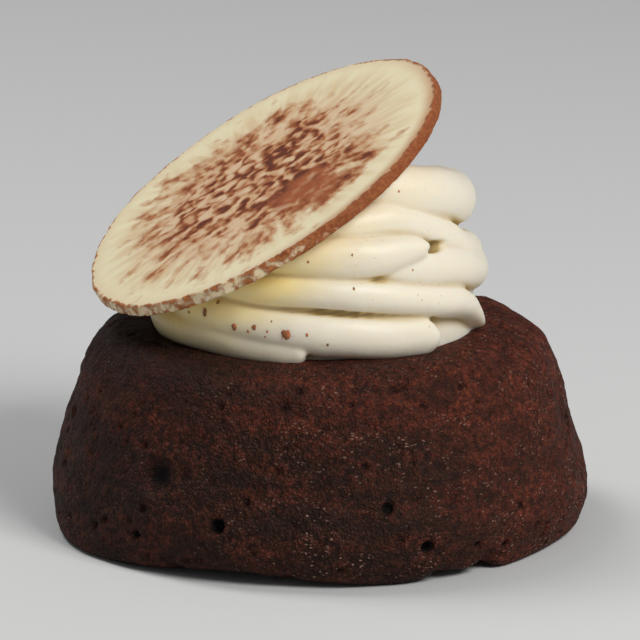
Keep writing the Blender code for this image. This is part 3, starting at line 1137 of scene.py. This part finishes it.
BASE_CHIPS = (
    Pit(309.0, 0.6, 2.0, 0.8, PitShape.DISH),
    Pit(296.0, 0.4, 1.6, 0.6, PitShape.DISH),
    Pit(262.0, 0.5, 1.4, 0.5, PitShape.DISH),
    Pit(236.0, 0.5, 1.6, 0.5, PitShape.DISH),
    Pit(150.0, 0.4, 3.0, 1.0, PitShape.DISH),
    Pit(70.0, 0.3, 2.6, 0.9, PitShape.DISH),
)


class Push(NamedTuple):
    """Where the baked drum is fuller or slimmer than a true round, in degrees and mm."""

    azimuth: float
    height: float
    spread_round: float
    spread_up: float
    outwards: float


class Lift(NamedTuple):
    """Where the drum's lower edge curls up off the table, in degrees and mm."""

    azimuth: float
    spread_round: float
    up: float


PUSHES = (
    Push(206.0, 0.0, 24.0, 5.0, 2.7),
    Push(183.0, 14.0, 38.0, 9.0, 0.65),
    Push(330.0, 0.5, 16.0, 4.0, -0.7),
    Push(354.0, 12.0, 34.0, 6.0, -1.2),
    Push(0.0, 20.0, 30.0, 6.0, -0.4),
    Push(10.0, 31.0, 45.0, 5.0, -1.9),
)
LIFTS = (
    Lift(250.0, 21.0, 1.65),
    Lift(298.0, 6.0, 1.2),
    Lift(307.5, 4.0, 1.5),
)


@dataclass
class SpongeCake:
    """The cake: a low drum of sponge that narrows upwards, with round shoulders."""

    height: float = 30.3 * MM
    base_radius: float = 38.6 * MM
    widest_radius: float = 40.6 * MM
    widest_height: float = 6.4 * MM
    top_radius: float = 33.6 * MM
    base_rounding: float = 2.2 * MM
    belly_rounding: float = 12.0 * MM
    shoulder_rounding: float = 7.5 * MM
    bed_radius: float = 26.1 * MM
    arc_steps: int = 24
    columns: int = 640
    fine_pace: float = 0.39 * MM
    fine_reach: tuple[float, float] = (3.0 * MM, 21.5 * MM)
    coarse_paces: tuple[float, float, float] = (9.0 * MM, 3.0 * MM, 5.0 * MM)
    swell: Bumps = Bumps(1.0 * MM, 24.0 * MM, 1, (3.1, 0.4, 1.7))
    crags: Bumps = Bumps(0.30 * MM, 6.0 * MM, 3)
    crumb: Bumps = Bumps(0.16 * MM, 1.7 * MM, 3, (9.0, 2.0, 5.0))
    smooth_edge: tuple[float, float] = (0.2 * MM, 2.0 * MM)
    smooth_bed: tuple[float, float] = (24.1 * MM, 27.6 * MM)
    push_radii: tuple[float, float] = (20.0 * MM, 30.0 * MM)
    lift_radii: tuple[float, float] = (27.0 * MM, 36.0 * MM)
    lift_reach: float = 7.0 * MM
    pore_count: int = 1100
    pore_radii: tuple[float, float] = (0.36 * MM, 0.85 * MM)
    pore_smallness: float = 3.2
    pore_depths: tuple[float, float] = (0.25, 0.6)
    rows_without_pores: int = 4
    # How deep a pit goes before its painted shade is full.
    dark_depths: tuple[float, float] = (1.0 * MM, 1.3 * MM)
    seed: int = 11
    finish: SpongeFinish = SpongeFinish()

    def outline(self) -> tuple[np.ndarray, np.ndarray]:
        """Return the outline, with its points close together where it shows.

        Returns:
            The points, and how far along the outline each one is.
        """
        corners = [
            ((0.0, 0.0), 0.0),
            ((self.base_radius, 0.0), self.base_rounding),
            ((self.widest_radius, self.widest_height), self.belly_rounding),
            ((self.top_radius, self.height), self.shoulder_rounding),
            ((0.0, self.height), 0.0),
        ]
        path = rounded(corners, self.arc_steps)
        whole = sum((b - a).length for a, b in zip(path, path[1:]))
        fine_from = self.base_radius - self.fine_reach[0]
        fine_to = whole - self.fine_reach[1]
        middle, edge, bed = self.coarse_paces
        stretches = [(self.lift_radii[0], middle), (fine_from, edge)]
        stretches += [(fine_to, self.fine_pace), (whole, bed)]
        return paced(path, stretches)

    def relief(self, net: Net) -> tuple[np.ndarray, np.ndarray]:
        """Return how far the crust stands out, and how hollow it is.

        Args:
            net: the smooth drum.

        Returns:
            The lift at each point in metres, and its hollowness from 0 to 1.
        """
        points = net.points
        bubbles, dishes = self.pits(points)
        bumps = self.swell.at(points) + self.crags.at(points) + self.crumb.at(points)
        lift = bumps - np.maximum(bubbles, dishes)
        level = points[:, :, 2]
        radius = np.linalg.norm(points[:, :, :2], axis=2)
        below_top = eased(self.height - level, *self.smooth_edge)
        off_bed = np.maximum(eased(radius, *self.smooth_bed), below_top)
        lift = lift * eased(level, *self.smooth_edge) * off_bed - self.dips(points, BASE_CHIPS)
        # The hollowness is kept for the painted shade in the pits.
        hollow = np.maximum(bubbles / self.dark_depths[0], dishes / self.dark_depths[1])
        return lift, np.clip(hollow, 0.0, 1.0)

    def random_pits(self, points: np.ndarray) -> list[tuple[Vector, float, float]]:
        """Return the small pores that are strewn over the crust.

        Args:
            points: the smooth drum's rows.

        Returns:
            Each pore's centre, radius and depth.
        """
        random = np.random.RandomState(self.seed)
        least, most = self.pore_radii
        shallow, more = self.pore_depths
        rows, columns = points.shape[:2]
        pores = []
        for _ in range(self.pore_count):
            row = random.randint(self.rows_without_pores, rows - self.rows_without_pores)
            column = random.randint(columns)
            radius = least + (most - least) * random.rand() ** self.pore_smallness
            depth = radius * (shallow + more * random.rand())
            pores.append((Vector(points[row, column]), radius, depth))
        return pores

    def pits(self, points: np.ndarray) -> tuple[np.ndarray, np.ndarray]:
        """Return how deep the pores and the dished hollows go at each point.

        Args:
            points: the smooth drum's rows.

        Returns:
            The pores' depth and the hollows' depth in metres, by row and column.
        """
        strewn = self.sunk(points, self.random_pits(points), PitShape.BUBBLE)
        bubbles = [pit for pit in LARGE_PITS if pit.shape is PitShape.BUBBLE]
        dishes = [pit for pit in LARGE_PITS if pit.shape is PitShape.DISH]
        return np.maximum(strewn, self.dips(points, bubbles)), self.dips(points, dishes)

    def dips(self, points: np.ndarray, pits: Iterable[Pit]) -> np.ndarray:
        """Return how deep the listed pits go at each point.

        Args:
            points: the smooth drum's rows.
            pits: the pits.

        Returns:
            The depth in metres, by row and column.
        """
        depth = np.zeros(points.shape[:2])
        columns = points.shape[1]
        for pit in pits:
            column = int(round(pit.azimuth / 360 * columns)) % columns
            side = points[:, column]
            on_side = np.linalg.norm(side[:, :2], axis=1) > self.bed_radius
            row = int(np.argmin(np.abs(side[:, 2] - pit.height * MM) + ~on_side))
            centre = Vector(side[row])
            sunk = self.sunk(points, [(centre, pit.radius * MM, pit.depth * MM)], pit.shape)
            depth = np.maximum(depth, sunk)
        return depth

    @staticmethod
    def sunk(points: np.ndarray, pits: list[tuple[Vector, float, float]], shape: PitShape) -> np.ndarray:
        """Return how deep pits go at each point.

        Args:
            points: the smooth drum's rows.
            pits: each pit's centre, radius and depth.
            shape: how they go down.

        Returns:
            The depth in metres, by row and column.
        """
        places = points.reshape(-1, 3)
        tree = KDTree(len(places))
        for index, place in enumerate(places):
            tree.insert(place, index)
        tree.balance()
        depth = np.zeros(len(places))
        for centre, radius, deepest in pits:
            for _, index, distance in tree.find_range(centre, radius):
                down = deepest * (1.0 - (distance / radius) ** shape.value)
                depth[index] = max(depth[index], down)
        return depth.reshape(points.shape[:2])

    def build(self) -> bpy.types.Object:
        """Build the cake in place of its plain solid.

        Returns:
            The cake.
        """
        outline, _ = self.outline()
        net = Net.turned(outline, self.columns)
        lift, hollow = self.relief(net)
        net.points = net.points + net.normals() * lift[:, :, None]
        self.settle(net)
        net.points[:, :, 2] = np.maximum(net.points[:, :, 2], 0.0)
        self.centre(net)
        mesh = net.mesh("sponge_cake", {"hollow": hollow})
        piece = placed(mesh, self.finish.material())
        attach(piece, "root")
        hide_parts("cake")
        return piece

    def settle(self, net: Net) -> None:
        """Make the true round the slightly sunken and lopsided drum that it really is.

        Args:
            net: the skin to change.
        """
        across, level = net.points[:, :, :2], net.points[:, :, 2].copy()
        azimuth = np.degrees(np.arctan2(across[:, :, 1], across[:, :, 0]))
        radius = np.maximum(np.linalg.norm(across, axis=2), TINY)
        outwards = np.zeros_like(radius)
        for push in PUSHES:
            share = beside(azimuth, push.azimuth, push.spread_round)
            share = share * np.exp(-(((level / MM - push.height) / push.spread_up) ** 2))
            outwards += share * push.outwards * MM
        outwards *= eased(radius, *self.push_radii)
        up = sum(beside(azimuth, lift.azimuth, lift.spread_round) * lift.up * MM for lift in LIFTS)
        near_edge = eased(radius, *self.lift_radii) * (1.0 - eased(level, 0.0, self.lift_reach))
        net.points[:, :, :2] = across * (1.0 + outwards / radius)[:, :, None]
        net.points[:, :, 2] = level + up * near_edge

    def centre(self, net: Net) -> None:
        """Put the skin over the middle of the plain solid's box.

        Args:
            net: the skin to move.
        """
        low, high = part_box("cake")
        flat = net.points.reshape(-1, 3)
        middle = (flat.min(0) + flat.max(0)) / 2
        net.points[:, :, 0] += (low.x + high.x) / 2 - middle[0]
        net.points[:, :, 1] += (low.y + high.y) / 2 - middle[1]


class Rib(NamedTuple):
    """One rib of cream: its crest's points, as (azimuth in degrees, height in mm), and its sizes in mm."""

    crest: tuple[tuple[float, float], ...]
    half_width: float
    stand_out: float = 0.0
    head_length: float = 5.0
    foot_length: float = 6.0


RIBS = (
    Rib(
        ((10, 56.8), (50, 53.8), (90, 49.0), (150, 38.8), (190, 32.8), (225, 32.7), (265, 31.2)),
        half_width=3.0,
        stand_out=0.9,
        foot_length=3.5,
    ),
    Rib(
        ((60, 56.8), (95, 54.0), (130, 49.5), (170, 42.5), (226, 36.4), (270, 34.2), (315, 32.4)),
        half_width=3.5,
        stand_out=0.9,
        foot_length=3.5,
    ),
    Rib(
        (
            *((120, 56.5), (150, 52.0), (190, 45.0), (237, 40.9)),
            *((275, 40.2), (318, 37.3), (336, 35.2), (351, 30.8)),
        ),
        half_width=2.6,
        stand_out=0.5,
        foot_length=12.0,
    ),
    Rib(
        ((190, 52.0), (235, 46.8), (260, 45.5), (285, 45.0), (312, 46.0)),
        half_width=3.5,
        stand_out=0.8,
        foot_length=13.0,
    ),
    Rib(
        ((290, 43.0), (320, 42.0), (351, 39.5), (390, 35.6), (424, 31.2)),
        half_width=3.7,
        stand_out=0.1,
        head_length=11.0,
    ),
    Rib(
        ((240, 51.0), (280, 49.2), (302, 49.3), (329, 45.7), (351, 41.9), (405, 38.2), (472, 31.2)),
        half_width=3.3,
        stand_out=-0.6,
    ),
    Rib(
        (
            *((215, 57.0), (255, 55.8), (295, 53.6), (326, 51.9)),
            *((359, 49.2), (400, 46.9), (450, 42.0), (525, 31.2)),
        ),
        half_width=4.5,
        stand_out=0.1,
    ),
)


class Gap(NamedTuple):
    """A dark gap between ribs: its azimuth in degrees, and its height, its spread and its depth in mm."""

    azimuth: float
    height: float
    spread_round: float
    spread_up: float
    depth: float


GAPS = (Gap(316.5, 45.6, 2.0, 0.5, 1.8),)


def along_curve(points: tuple[tuple[float, float], ...], share: float) -> Vector:
    """Return the place at a share of the way along a smooth curve.

    Args:
        points: what the curve goes through.
        share: how far along it, from 0 to 1.

    Returns:
        The place.
    """
    place = share * (len(points) - 1)
    i = min(int(place), len(points) - 2)
    before, start = Vector(points[max(i - 1, 0)]), Vector(points[i])
    end, after = Vector(points[i + 1]), Vector(points[min(i + 2, len(points) - 1)])
    t = place - i
    out, arrive = (end - before) / 2, (after - start) / 2
    lift = start * (2 * t**3 - 3 * t**2 + 1) + out * (t**3 - 2 * t**2 + t)
    return lift + end * (3 * t**2 - 2 * t**3) + arrive * (t**3 - t**2)


def swelling(distance: float, length: float) -> float:
    """Return how full a rib is near its end.

    Args:
        distance: how far from the end.
        length: over which it fills out.

    Returns:
        A share that rises from 0 in a round curve to 1.
    """
    return math.sqrt(max(0.0, 1.0 - max(0.0, 1.0 - distance / length) ** 2))


@dataclass
class PipedSwirl:
    """The cream: rounded ribs that wind down to the right about a core, all one soft body."""

    reach: float = 25.1 * MM
    fullest_height: float = 37.0 * MM
    draw_in: float = 12.5
    closing_height: float = 52.0 * MM
    close_in: float = 625.0
    rib_depth: float = 6.0 * MM
    roundness: float = 0.9
    head_dive: float = 2.0 * MM
    least_fullness: float = 0.02
    rib_steps: int = 110
    arc_steps: int = 18
    core: tuple[tuple[float, float], ...] = (
        (23.3, 28.0),
        (22.9, 38.0),
        (21.4, 44.0),
        (18.4, 50.6),
        (12.0, 55.0),
        (0.0, 57.5),
    )
    core_steps: int = 96
    foot: float = 30.1 * MM
    net_centre: float = 41.0 * MM
    columns: int = 480
    rows_below: int = 40
    rows_above: int = 146
    ray_start: float = 60.0 * MM
    smoothing: int = 3
    fold_rounds: int = 90
    full_fold: float = 1.1 * MM
    fold_depth: float = 0.6 * MM
    gap_mark: float = 2.0
    cut_tolerance: float = 0.01 * MM
    bumps: Bumps = Bumps(0.12 * MM, 5.0 * MM, 2, (1.0, 7.0, 3.0))
    finish: CreamFinish = CreamFinish()

    def section(self, half_width: float) -> list[tuple[float, float]]:
        """Return a rib's section: a round face between two flat sides.

        Args:
            half_width: half of the rib's width.

        Returns:
            Points of (outwards, up) from the crest.
        """
        bulge = half_width * self.roundness
        turns = [math.pi * (i / self.arc_steps - 0.5) for i in range(self.arc_steps + 1)]
        face = [(bulge * (math.cos(turn) - 1.0), half_width * math.sin(turn)) for turn in turns]
        inner = -bulge - self.rib_depth
        return [*face, (inner, half_width), (inner, -half_width)]

    def crest_radius(self, height: float) -> float:
        """Return how far from the axis a rib's crest stands at a height."""
        drawn_in = self.draw_in * (height - self.fullest_height) ** 2
        return self.reach - drawn_in - self.close_in * max(0.0, height - self.closing_height) ** 2

    def add_rib(self, shape: bmesh.types.BMesh, rib: Rib) -> None:
        """Add one rib: a row of sections along its crest, closed at both ends.

        Args:
            shape: the mesh to add it to.
            rib: the rib.
        """
        rings = []
        for i in range(self.rib_steps + 1):
            azimuth, height = along_curve(rib.crest, (1.0 - math.cos(math.pi * i / self.rib_steps)) / 2)
            angle = math.radians(azimuth)
            reach = self.crest_radius(height * MM)
            from_head = math.radians(azimuth - rib.crest[0][0]) * reach / MM
            to_foot = math.radians(rib.crest[-1][0] - azimuth) * reach / MM
            head = swelling(from_head, rib.head_length)
            fullness = head * swelling(to_foot, rib.foot_length)
            size = rib.half_width * MM * max(self.least_fullness, fullness)
            crest = reach + rib.stand_out * MM - self.head_dive * (1.0 - head)
            ring = []
            for out, up in self.section(size):
                radius = crest + out
                place = (radius * math.cos(angle), radius * math.sin(angle), height * MM + up)
                ring.append(shape.verts.new(place))
            rings.append(ring)
        for ring, following in zip(rings, rings[1:]):
            for j, corner in enumerate(ring):
                shape.faces.new((ring[j - 1], corner, following[j], following[j - 1]))
        shape.faces.new(rings[0])
        shape.faces.new(rings[-1])

    def form(self) -> BVHTree:
        """Make the ribs and the core.

        Returns:
            The form that the skin of the cream is drawn in onto.
        """
        shape = bmesh.new()
        for rib in RIBS:
            self.add_rib(shape, rib)
        core = [shape.verts.new((radius * MM, 0.0, height * MM)) for radius, height in self.core]
        edges = [shape.edges.new(pair) for pair in zip(core, core[1:])]
        turn = {"axis": (0, 0, 1), "cent": (0, 0, 0), "angle": math.tau}
        bmesh.ops.spin(shape, geom=core + edges, steps=self.core_steps, **turn)
        tree = BVHTree.FromBMesh(shape)
        shape.free()
        return tree

    def net(self) -> Net:
        """Draw the skin of the whole swirl in onto its form.

        Returns:
            The skin.
        """
        form = self.form()
        rise = self.net_centre - self.foot
        rows = [(self.foot + rise * i / self.rows_below, 0.0) for i in range(self.rows_below)]
        rows += [(self.net_centre, math.pi / 2 * i / self.rows_above) for i in range(self.rows_above)]
        points = np.zeros((len(rows), self.columns, 3))
        for r, (height, elevation) in enumerate(rows):
            centre = Vector((0.0, 0.0, height))
            flat = math.cos(elevation)
            for c in range(self.columns):
                angle = math.tau * c / self.columns
                way = Vector((flat * math.cos(angle), flat * math.sin(angle), math.sin(elevation)))
                points[r, c] = form.ray_cast(centre + way * self.ray_start, -way)[0]
        top = form.ray_cast(Vector((0, 0, self.ray_start * 2)), Vector((0, 0, -1)))[0]
        return Net(points, Vector((0, 0, self.foot)), top)

    def folds(self, net: Net) -> np.ndarray:
        """Return how deep in a fold each point lies.

        Args:
            net: the swirl's skin.

        Returns:
            A share from 0 to 1, by row and column.
        """
        reach = np.linalg.norm(net.points - np.array((0.0, 0.0, self.net_centre)), axis=2)
        around = reach.copy()
        for _ in range(self.fold_rounds):
            over = around.copy()
            over[1:-1] = (around[:-2] + around[2:]) / 2
            around = (around + (np.roll(around, 1, 1) + np.roll(around, -1, 1)) / 4 + over / 2) / 2
        return np.clip((around - reach) / self.full_fold, 0.0, 1.0)

    def deepen(self, net: Net, folds: np.ndarray) -> None:
        """Draw the folds in further, and open the dark gaps that show between some of the ribs.

        Args:
            net: the swirl's skin.
            folds: how deep in a fold each point lies, from 0 to 1; the gaps are marked in it, above 1, for
                their painted shade.
        """
        inwards = self.fold_depth * folds**2
        azimuth = np.degrees(np.arctan2(net.points[:, :, 1], net.points[:, :, 0]))
        for gap in GAPS:
            spread = math.degrees(gap.spread_round * MM / self.reach)
            up = (net.points[:, :, 2] / MM - gap.height) / gap.spread_up
            share = beside(azimuth, gap.azimuth, spread) * np.exp(-(up**2))
            inwards = np.maximum(inwards, share * gap.depth * MM)
            folds[:] = np.maximum(folds, self.gap_mark * share)
        net.points = net.points - net.normals() * inwards[:, :, None]

    def press_flat(self, mesh: bpy.types.Mesh, plane: tuple[Vector, Vector]) -> None:
        """Cut off all that would reach past the disc's underside, and close the cut.

        Args:
            mesh: the swirl's mesh.
            plane: a point of the cut and its upward normal.
        """
        shape = bmesh.new()
        shape.from_mesh(mesh)
        cut = bmesh.ops.bisect_plane(
            shape,
            geom=shape.verts[:] + shape.edges[:] + shape.faces[:],
            dist=self.cut_tolerance,
            plane_co=plane[0],
            plane_no=plane[1],
            clear_outer=True,
        )
        rim = [item for item in cut["geom_cut"] if isinstance(item, bmesh.types.BMEdge)]
        bmesh.ops.edgeloop_fill(shape, edges=rim)
        bmesh.ops.recalc_face_normals(shape, faces=shape.faces)
        shape.to_mesh(mesh)
        shape.free()

    def build(self, plane: tuple[Vector, Vector]) -> bpy.types.Object:
        """Build the swirl in place of its plain solid.

        Args:
            plane: a point of the disc's underside and its upward normal.

        Returns:
            The cream.
        """
        net = self.net()
        net.relax(self.smoothing)
        folds = self.folds(net)
        self.deepen(net, folds)
        net.points = net.points + net.normals() * self.bumps.at(net.points)[:, :, None]
        # The fold depth is kept for the painted shade in the folds and gaps.
        mesh = net.mesh("piped_cream", {"fold": folds})
        self.press_flat(mesh, plane)
        piece = placed(mesh, self.finish.material(plane))
        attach(piece, "root")
        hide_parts("cream")
        return piece


@dataclass
class LeaningDisc:
    """The thin round of chocolate that leans on the swirl."""

    radius: float = 30.0 * MM
    thickness: float = 1.9 * MM
    edge_rounding: float = 0.45 * MM
    top_centre: tuple[float, float, float] = (-8.7 * MM, 1.5 * MM, 51.7 * MM)
    tilt: float = math.radians(32.2)
    facing: float = math.radians(200.0)
    arc_steps: int = 6
    columns: int = 400
    underside_pace: float = 3.0 * MM
    rim_pace: float = 0.16 * MM
    rim_reach: tuple[float, float] = (2.0 * MM, 1.0 * MM)
    face_pace: float = 0.6 * MM
    warp: Bumps = Bumps(0.25 * MM, 20.0 * MM, 1)
    rim_wear: Bumps = Bumps(0.22 * MM, 4.0 * MM, 3, (4.0, 4.0, 0.0))
    worn_from: float = 0.8
    crust: Bumps = Bumps(0.10 * MM, 0.9 * MM, 2)
    crust_rise: tuple[float, float] = (0.8 * MM, 0.1 * MM)
    finish: DiscFinish = DiscFinish()

    def frame(self) -> Matrix:
        """Return the disc's placement: its upper face's middle, with local +Z out of that face."""
        turn = Matrix.Rotation(self.facing, 4, "Z") @ Matrix.Rotation(self.tilt, 4, "Y")
        return Matrix.Translation(self.top_centre) @ turn

    def underside(self) -> tuple[Vector, Vector]:
        """Return a point of the underside and the normal up through the disc."""
        frame = self.frame()
        return frame @ Vector((0, 0, -self.thickness)), frame.to_3x3() @ Vector((0, 0, 1))

    def build(self) -> bpy.types.Object:
        """Build the disc in place of its plain solid.

        Returns:
            The disc.
        """
        corners = [
            ((0.0, -self.thickness), 0.0),
            ((self.radius, -self.thickness), self.edge_rounding),
            ((self.radius, 0.0), self.edge_rounding),
            ((0.0, 0.0), 0.0),
        ]
        path = rounded(corners, self.arc_steps)
        whole = sum((b - a).length for a, b in zip(path, path[1:]))
        below, over = self.rim_reach
        rim_end = whole - self.radius + over
        stretches = [(self.radius - below, self.underside_pace), (rim_end, self.rim_pace)]
        outline, along = paced(path, [*stretches, (whole, self.face_pace)])
        net = Net.turned(outline, self.columns)
        out = np.repeat(((whole - along) / self.radius)[1:-1, None], self.columns, axis=1)
        turn = np.linspace(0.0, math.tau, self.columns, endpoint=False)[None, :]
        self.wear(net)
        frame = np.array(self.frame())
        net.points = net.points @ frame[:3, :3].T + frame[:3, 3]
        net.bottom = self.frame() @ net.bottom
        net.top = self.frame() @ net.top
        values = {"flat_x": out * np.cos(turn), "flat_y": out * np.sin(turn)}
        piece = placed(net.mesh("streaked_disc", values), self.finish.material(self.radius))
        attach(piece, "root")
        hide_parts("chocolate_disc")
        return piece

    def wear(self, net: Net) -> None:
        """Warp the disc slightly, and make its rim uneven and crusty.

        Args:
            net: the disc's skin, in its own frame.
        """
        flat = net.points * np.array((1.0, 1.0, 0.0))
        radius = np.linalg.norm(flat, axis=2)
        start, end = self.crust_rise
        crust = self.crust.at(net.points) * eased(radius, self.radius - start, self.radius - end)
        worn = self.rim_wear.at(flat) * eased(radius, self.radius * self.worn_from, self.radius)
        out = flat / np.maximum(radius, TINY)[:, :, None]
        net.points = net.points + net.normals() * crust[:, :, None]
        net.points = net.points + out * worn[:, :, None]
        net.points[:, :, 2] += self.warp.at(flat)


class Speck(NamedTuple):
    """A cocoa crumb on the cream: its azimuth in degrees, its height and its width in millimetres."""

    azimuth: float
    height: float
    width: float


SPECKS = (
    Speck(229.4, 36.6, 1.0),
    Speck(241.0, 35.1, 0.9),
    Speck(246.1, 34.7, 0.5),
    Speck(248.2, 35.4, 0.8),
    Speck(252.7, 34.9, 0.4),
    Speck(252.0, 34.1, 0.35),
    Speck(254.0, 36.4, 0.35),
    Speck(259.0, 34.7, 1.5),
    Speck(265.8, 34.7, 0.5),
    Speck(272.5, 33.2, 0.4),
    Speck(266.0, 45.4, 0.4),
    Speck(280.8, 46.3, 0.35),
    Speck(281.3, 41.3, 0.4),
    Speck(303.3, 54.2, 0.4),
    Speck(303.6, 43.1, 0.35),
    Speck(233.5, 38.2, 0.6),
    Speck(222.0, 36.0, 0.5),
)


@dataclass
class CocoaSpecks:
    """The cocoa crumbs that fell from the disc onto the cream."""

    widths: tuple[float, float] = (0.7, 0.3)
    lengths: tuple[float, float] = (0.9, 0.4)
    flatness: float = 0.35
    lumpiness: float = 0.5
    lump_scale: float = 1.4
    lump_places: float = 20.0
    ray_start: float = 50.0 * MM
    seed: int = 5
    finish: CocoaFinish = CocoaFinish()

    def build(self, cream: bpy.types.Object) -> bpy.types.Object:
        """Build the crumbs.

        Args:
            cream: what they lie on.

        Returns:
            All of them as one piece.
        """
        surface = BVHTree.FromObject(cream, bpy.context.evaluated_depsgraph_get())
        random = np.random.RandomState(self.seed)
        shape = bmesh.new()
        for speck in SPECKS:
            angle = math.radians(speck.azimuth)
            way = Vector((math.cos(angle), math.sin(angle), 0.0))
            start = way * self.ray_start + Vector((0, 0, speck.height * MM))
            place, normal, _, _ = surface.ray_cast(start, -way)
            size = speck.width / 2 * MM
            wide = size * (self.widths[0] + self.widths[1] * random.rand())
            long = size * (self.lengths[0] + self.lengths[1] * random.rand())
            turn = normal.to_track_quat("Z", "Y").to_matrix().to_4x4()
            stretch = Matrix.Diagonal((wide, long, size * self.flatness, 1.0))
            matrix = Matrix.Translation(place) @ turn @ stretch
            shift = Vector(random.rand(3) * self.lump_places)
            for vertex in bmesh.ops.create_icosphere(shape, subdivisions=2, radius=1.0)["verts"]:
                lump = noise.noise(vertex.co * self.lump_scale + shift)
                vertex.co = matrix @ (vertex.co * (1.0 + self.lumpiness * lump))
        mesh = bpy.data.meshes.new("cocoa_specks")
        shape.to_mesh(mesh)
        shape.free()
        mesh.shade_smooth()
        piece = placed(mesh, self.finish.material())
        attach(piece, "root")
        return piece


# The studio


class Lamp(NamedTuple):
    """A square soft light: its side of the cake and its height in degrees, its distance, size and watts.

    The side is counted from the camera's, and 90 is the camera's right.
    """

    name: str
    azimuth: float
    elevation: float
    distance: float
    size: float
    power: float


LAMPS = (
    Lamp("key_light", azimuth=44.0, elevation=41.0, distance=0.9, size=0.35, power=6.1),
    Lamp("left_light", azimuth=-120.0, elevation=60.0, distance=1.0, size=0.35, power=3.8),
)


@dataclass
class Studio:
    """The camera, the pale floor and the soft lights."""

    aim: tuple[float, float, float] = (0.0, 0.0, 30.5 * MM)
    camera_distance: float = 0.8
    camera_elevation: float = math.radians(14.0)
    sensor: float = 36.0
    pixels_per_metre: float = 6660.0
    picture_pixels: int = 640
    clips: tuple[float, float] = (0.01, 50.0)
    floor_size: float = 8.0
    floor_squares: int = 8
    floor_colour: Colour = colour(206, 206, 204)
    floor_roughness: float = 0.7
    sky_colour: Colour = colour(225, 228, 232)
    sky_strength: float = 0.3

    def set_camera(self) -> None:
        """Make the camera at the photograph's viewing angle."""
        data = bpy.data.cameras.new("photo_camera")
        data.sensor_width = self.sensor
        data.lens = self.sensor * self.pixels_per_metre * self.camera_distance / self.picture_pixels
        data.clip_start, data.clip_end = self.clips
        camera = bpy.data.objects.new("photo_camera", data)
        bpy.context.scene.collection.objects.link(camera)
        back = Vector((0.0, -math.cos(self.camera_elevation), math.sin(self.camera_elevation)))
        camera.location = Vector(self.aim) + back * self.camera_distance
        camera.rotation_euler = (-back).to_track_quat("-Z", "Y").to_euler()
        bpy.context.scene.camera = camera

    def lay_floor(self) -> None:
        """Lay the plain pale floor."""
        shape = bmesh.new()
        squares = self.floor_squares
        bmesh.ops.create_grid(shape, x_segments=squares, y_segments=squares, size=self.floor_size / 2)
        mesh = bpy.data.meshes.new("floor")
        shape.to_mesh(mesh)
        shape.free()
        material, _, shader = new_material("pale_floor")
        shader.inputs["Base Color"].default_value = self.floor_colour
        shader.inputs["Roughness"].default_value = self.floor_roughness
        placed(mesh, material)

    def hang(self, lamp: Lamp) -> None:
        """Hang a light, aimed at the cake.

        Args:
            lamp: the light.
        """
        light = bpy.data.lights.new(lamp.name, "AREA")
        light.size = lamp.size
        light.energy = lamp.power
        hung = bpy.data.objects.new(lamp.name, light)
        bpy.context.scene.collection.objects.link(hung)
        side, up = math.radians(lamp.azimuth), math.radians(lamp.elevation)
        way = Vector((math.sin(side) * math.cos(up), -math.cos(side) * math.cos(up), math.sin(up)))
        hung.location = Vector(self.aim) + way * lamp.distance
        hung.rotation_euler = (-way).to_track_quat("-Z", "Y").to_euler()

    def set_sky(self) -> None:
        """Fill the room with a plain pale light."""
        world = bpy.data.worlds.new("pale_room")
        world.use_nodes = True
        sky = world.node_tree.nodes["Background"]
        sky.inputs["Color"].default_value = self.sky_colour
        sky.inputs["Strength"].default_value = self.sky_strength
        bpy.context.scene.world = world

    def build(self) -> None:
        """Set up the whole studio."""
        bpy.context.scene.view_settings.view_transform = "Standard"
        self.set_camera()
        self.lay_floor()
        self.set_sky()
        for lamp in LAMPS:
            self.hang(lamp)


def main() -> None:
    """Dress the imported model."""
    logging.basicConfig(level=logging.INFO, format="%(message)s")
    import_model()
    Studio().build()
    disc = LeaningDisc()
    pieces = [SpongeCake().build(), PipedSwirl().build(disc.underside()), disc.build()]
    pieces.append(CocoaSpecks().build(pieces[1]))
    for piece in pieces:
        LOG.info("%s: %d faces", piece.name, len(piece.data.polygons))


if __name__ == "__main__":
    main()
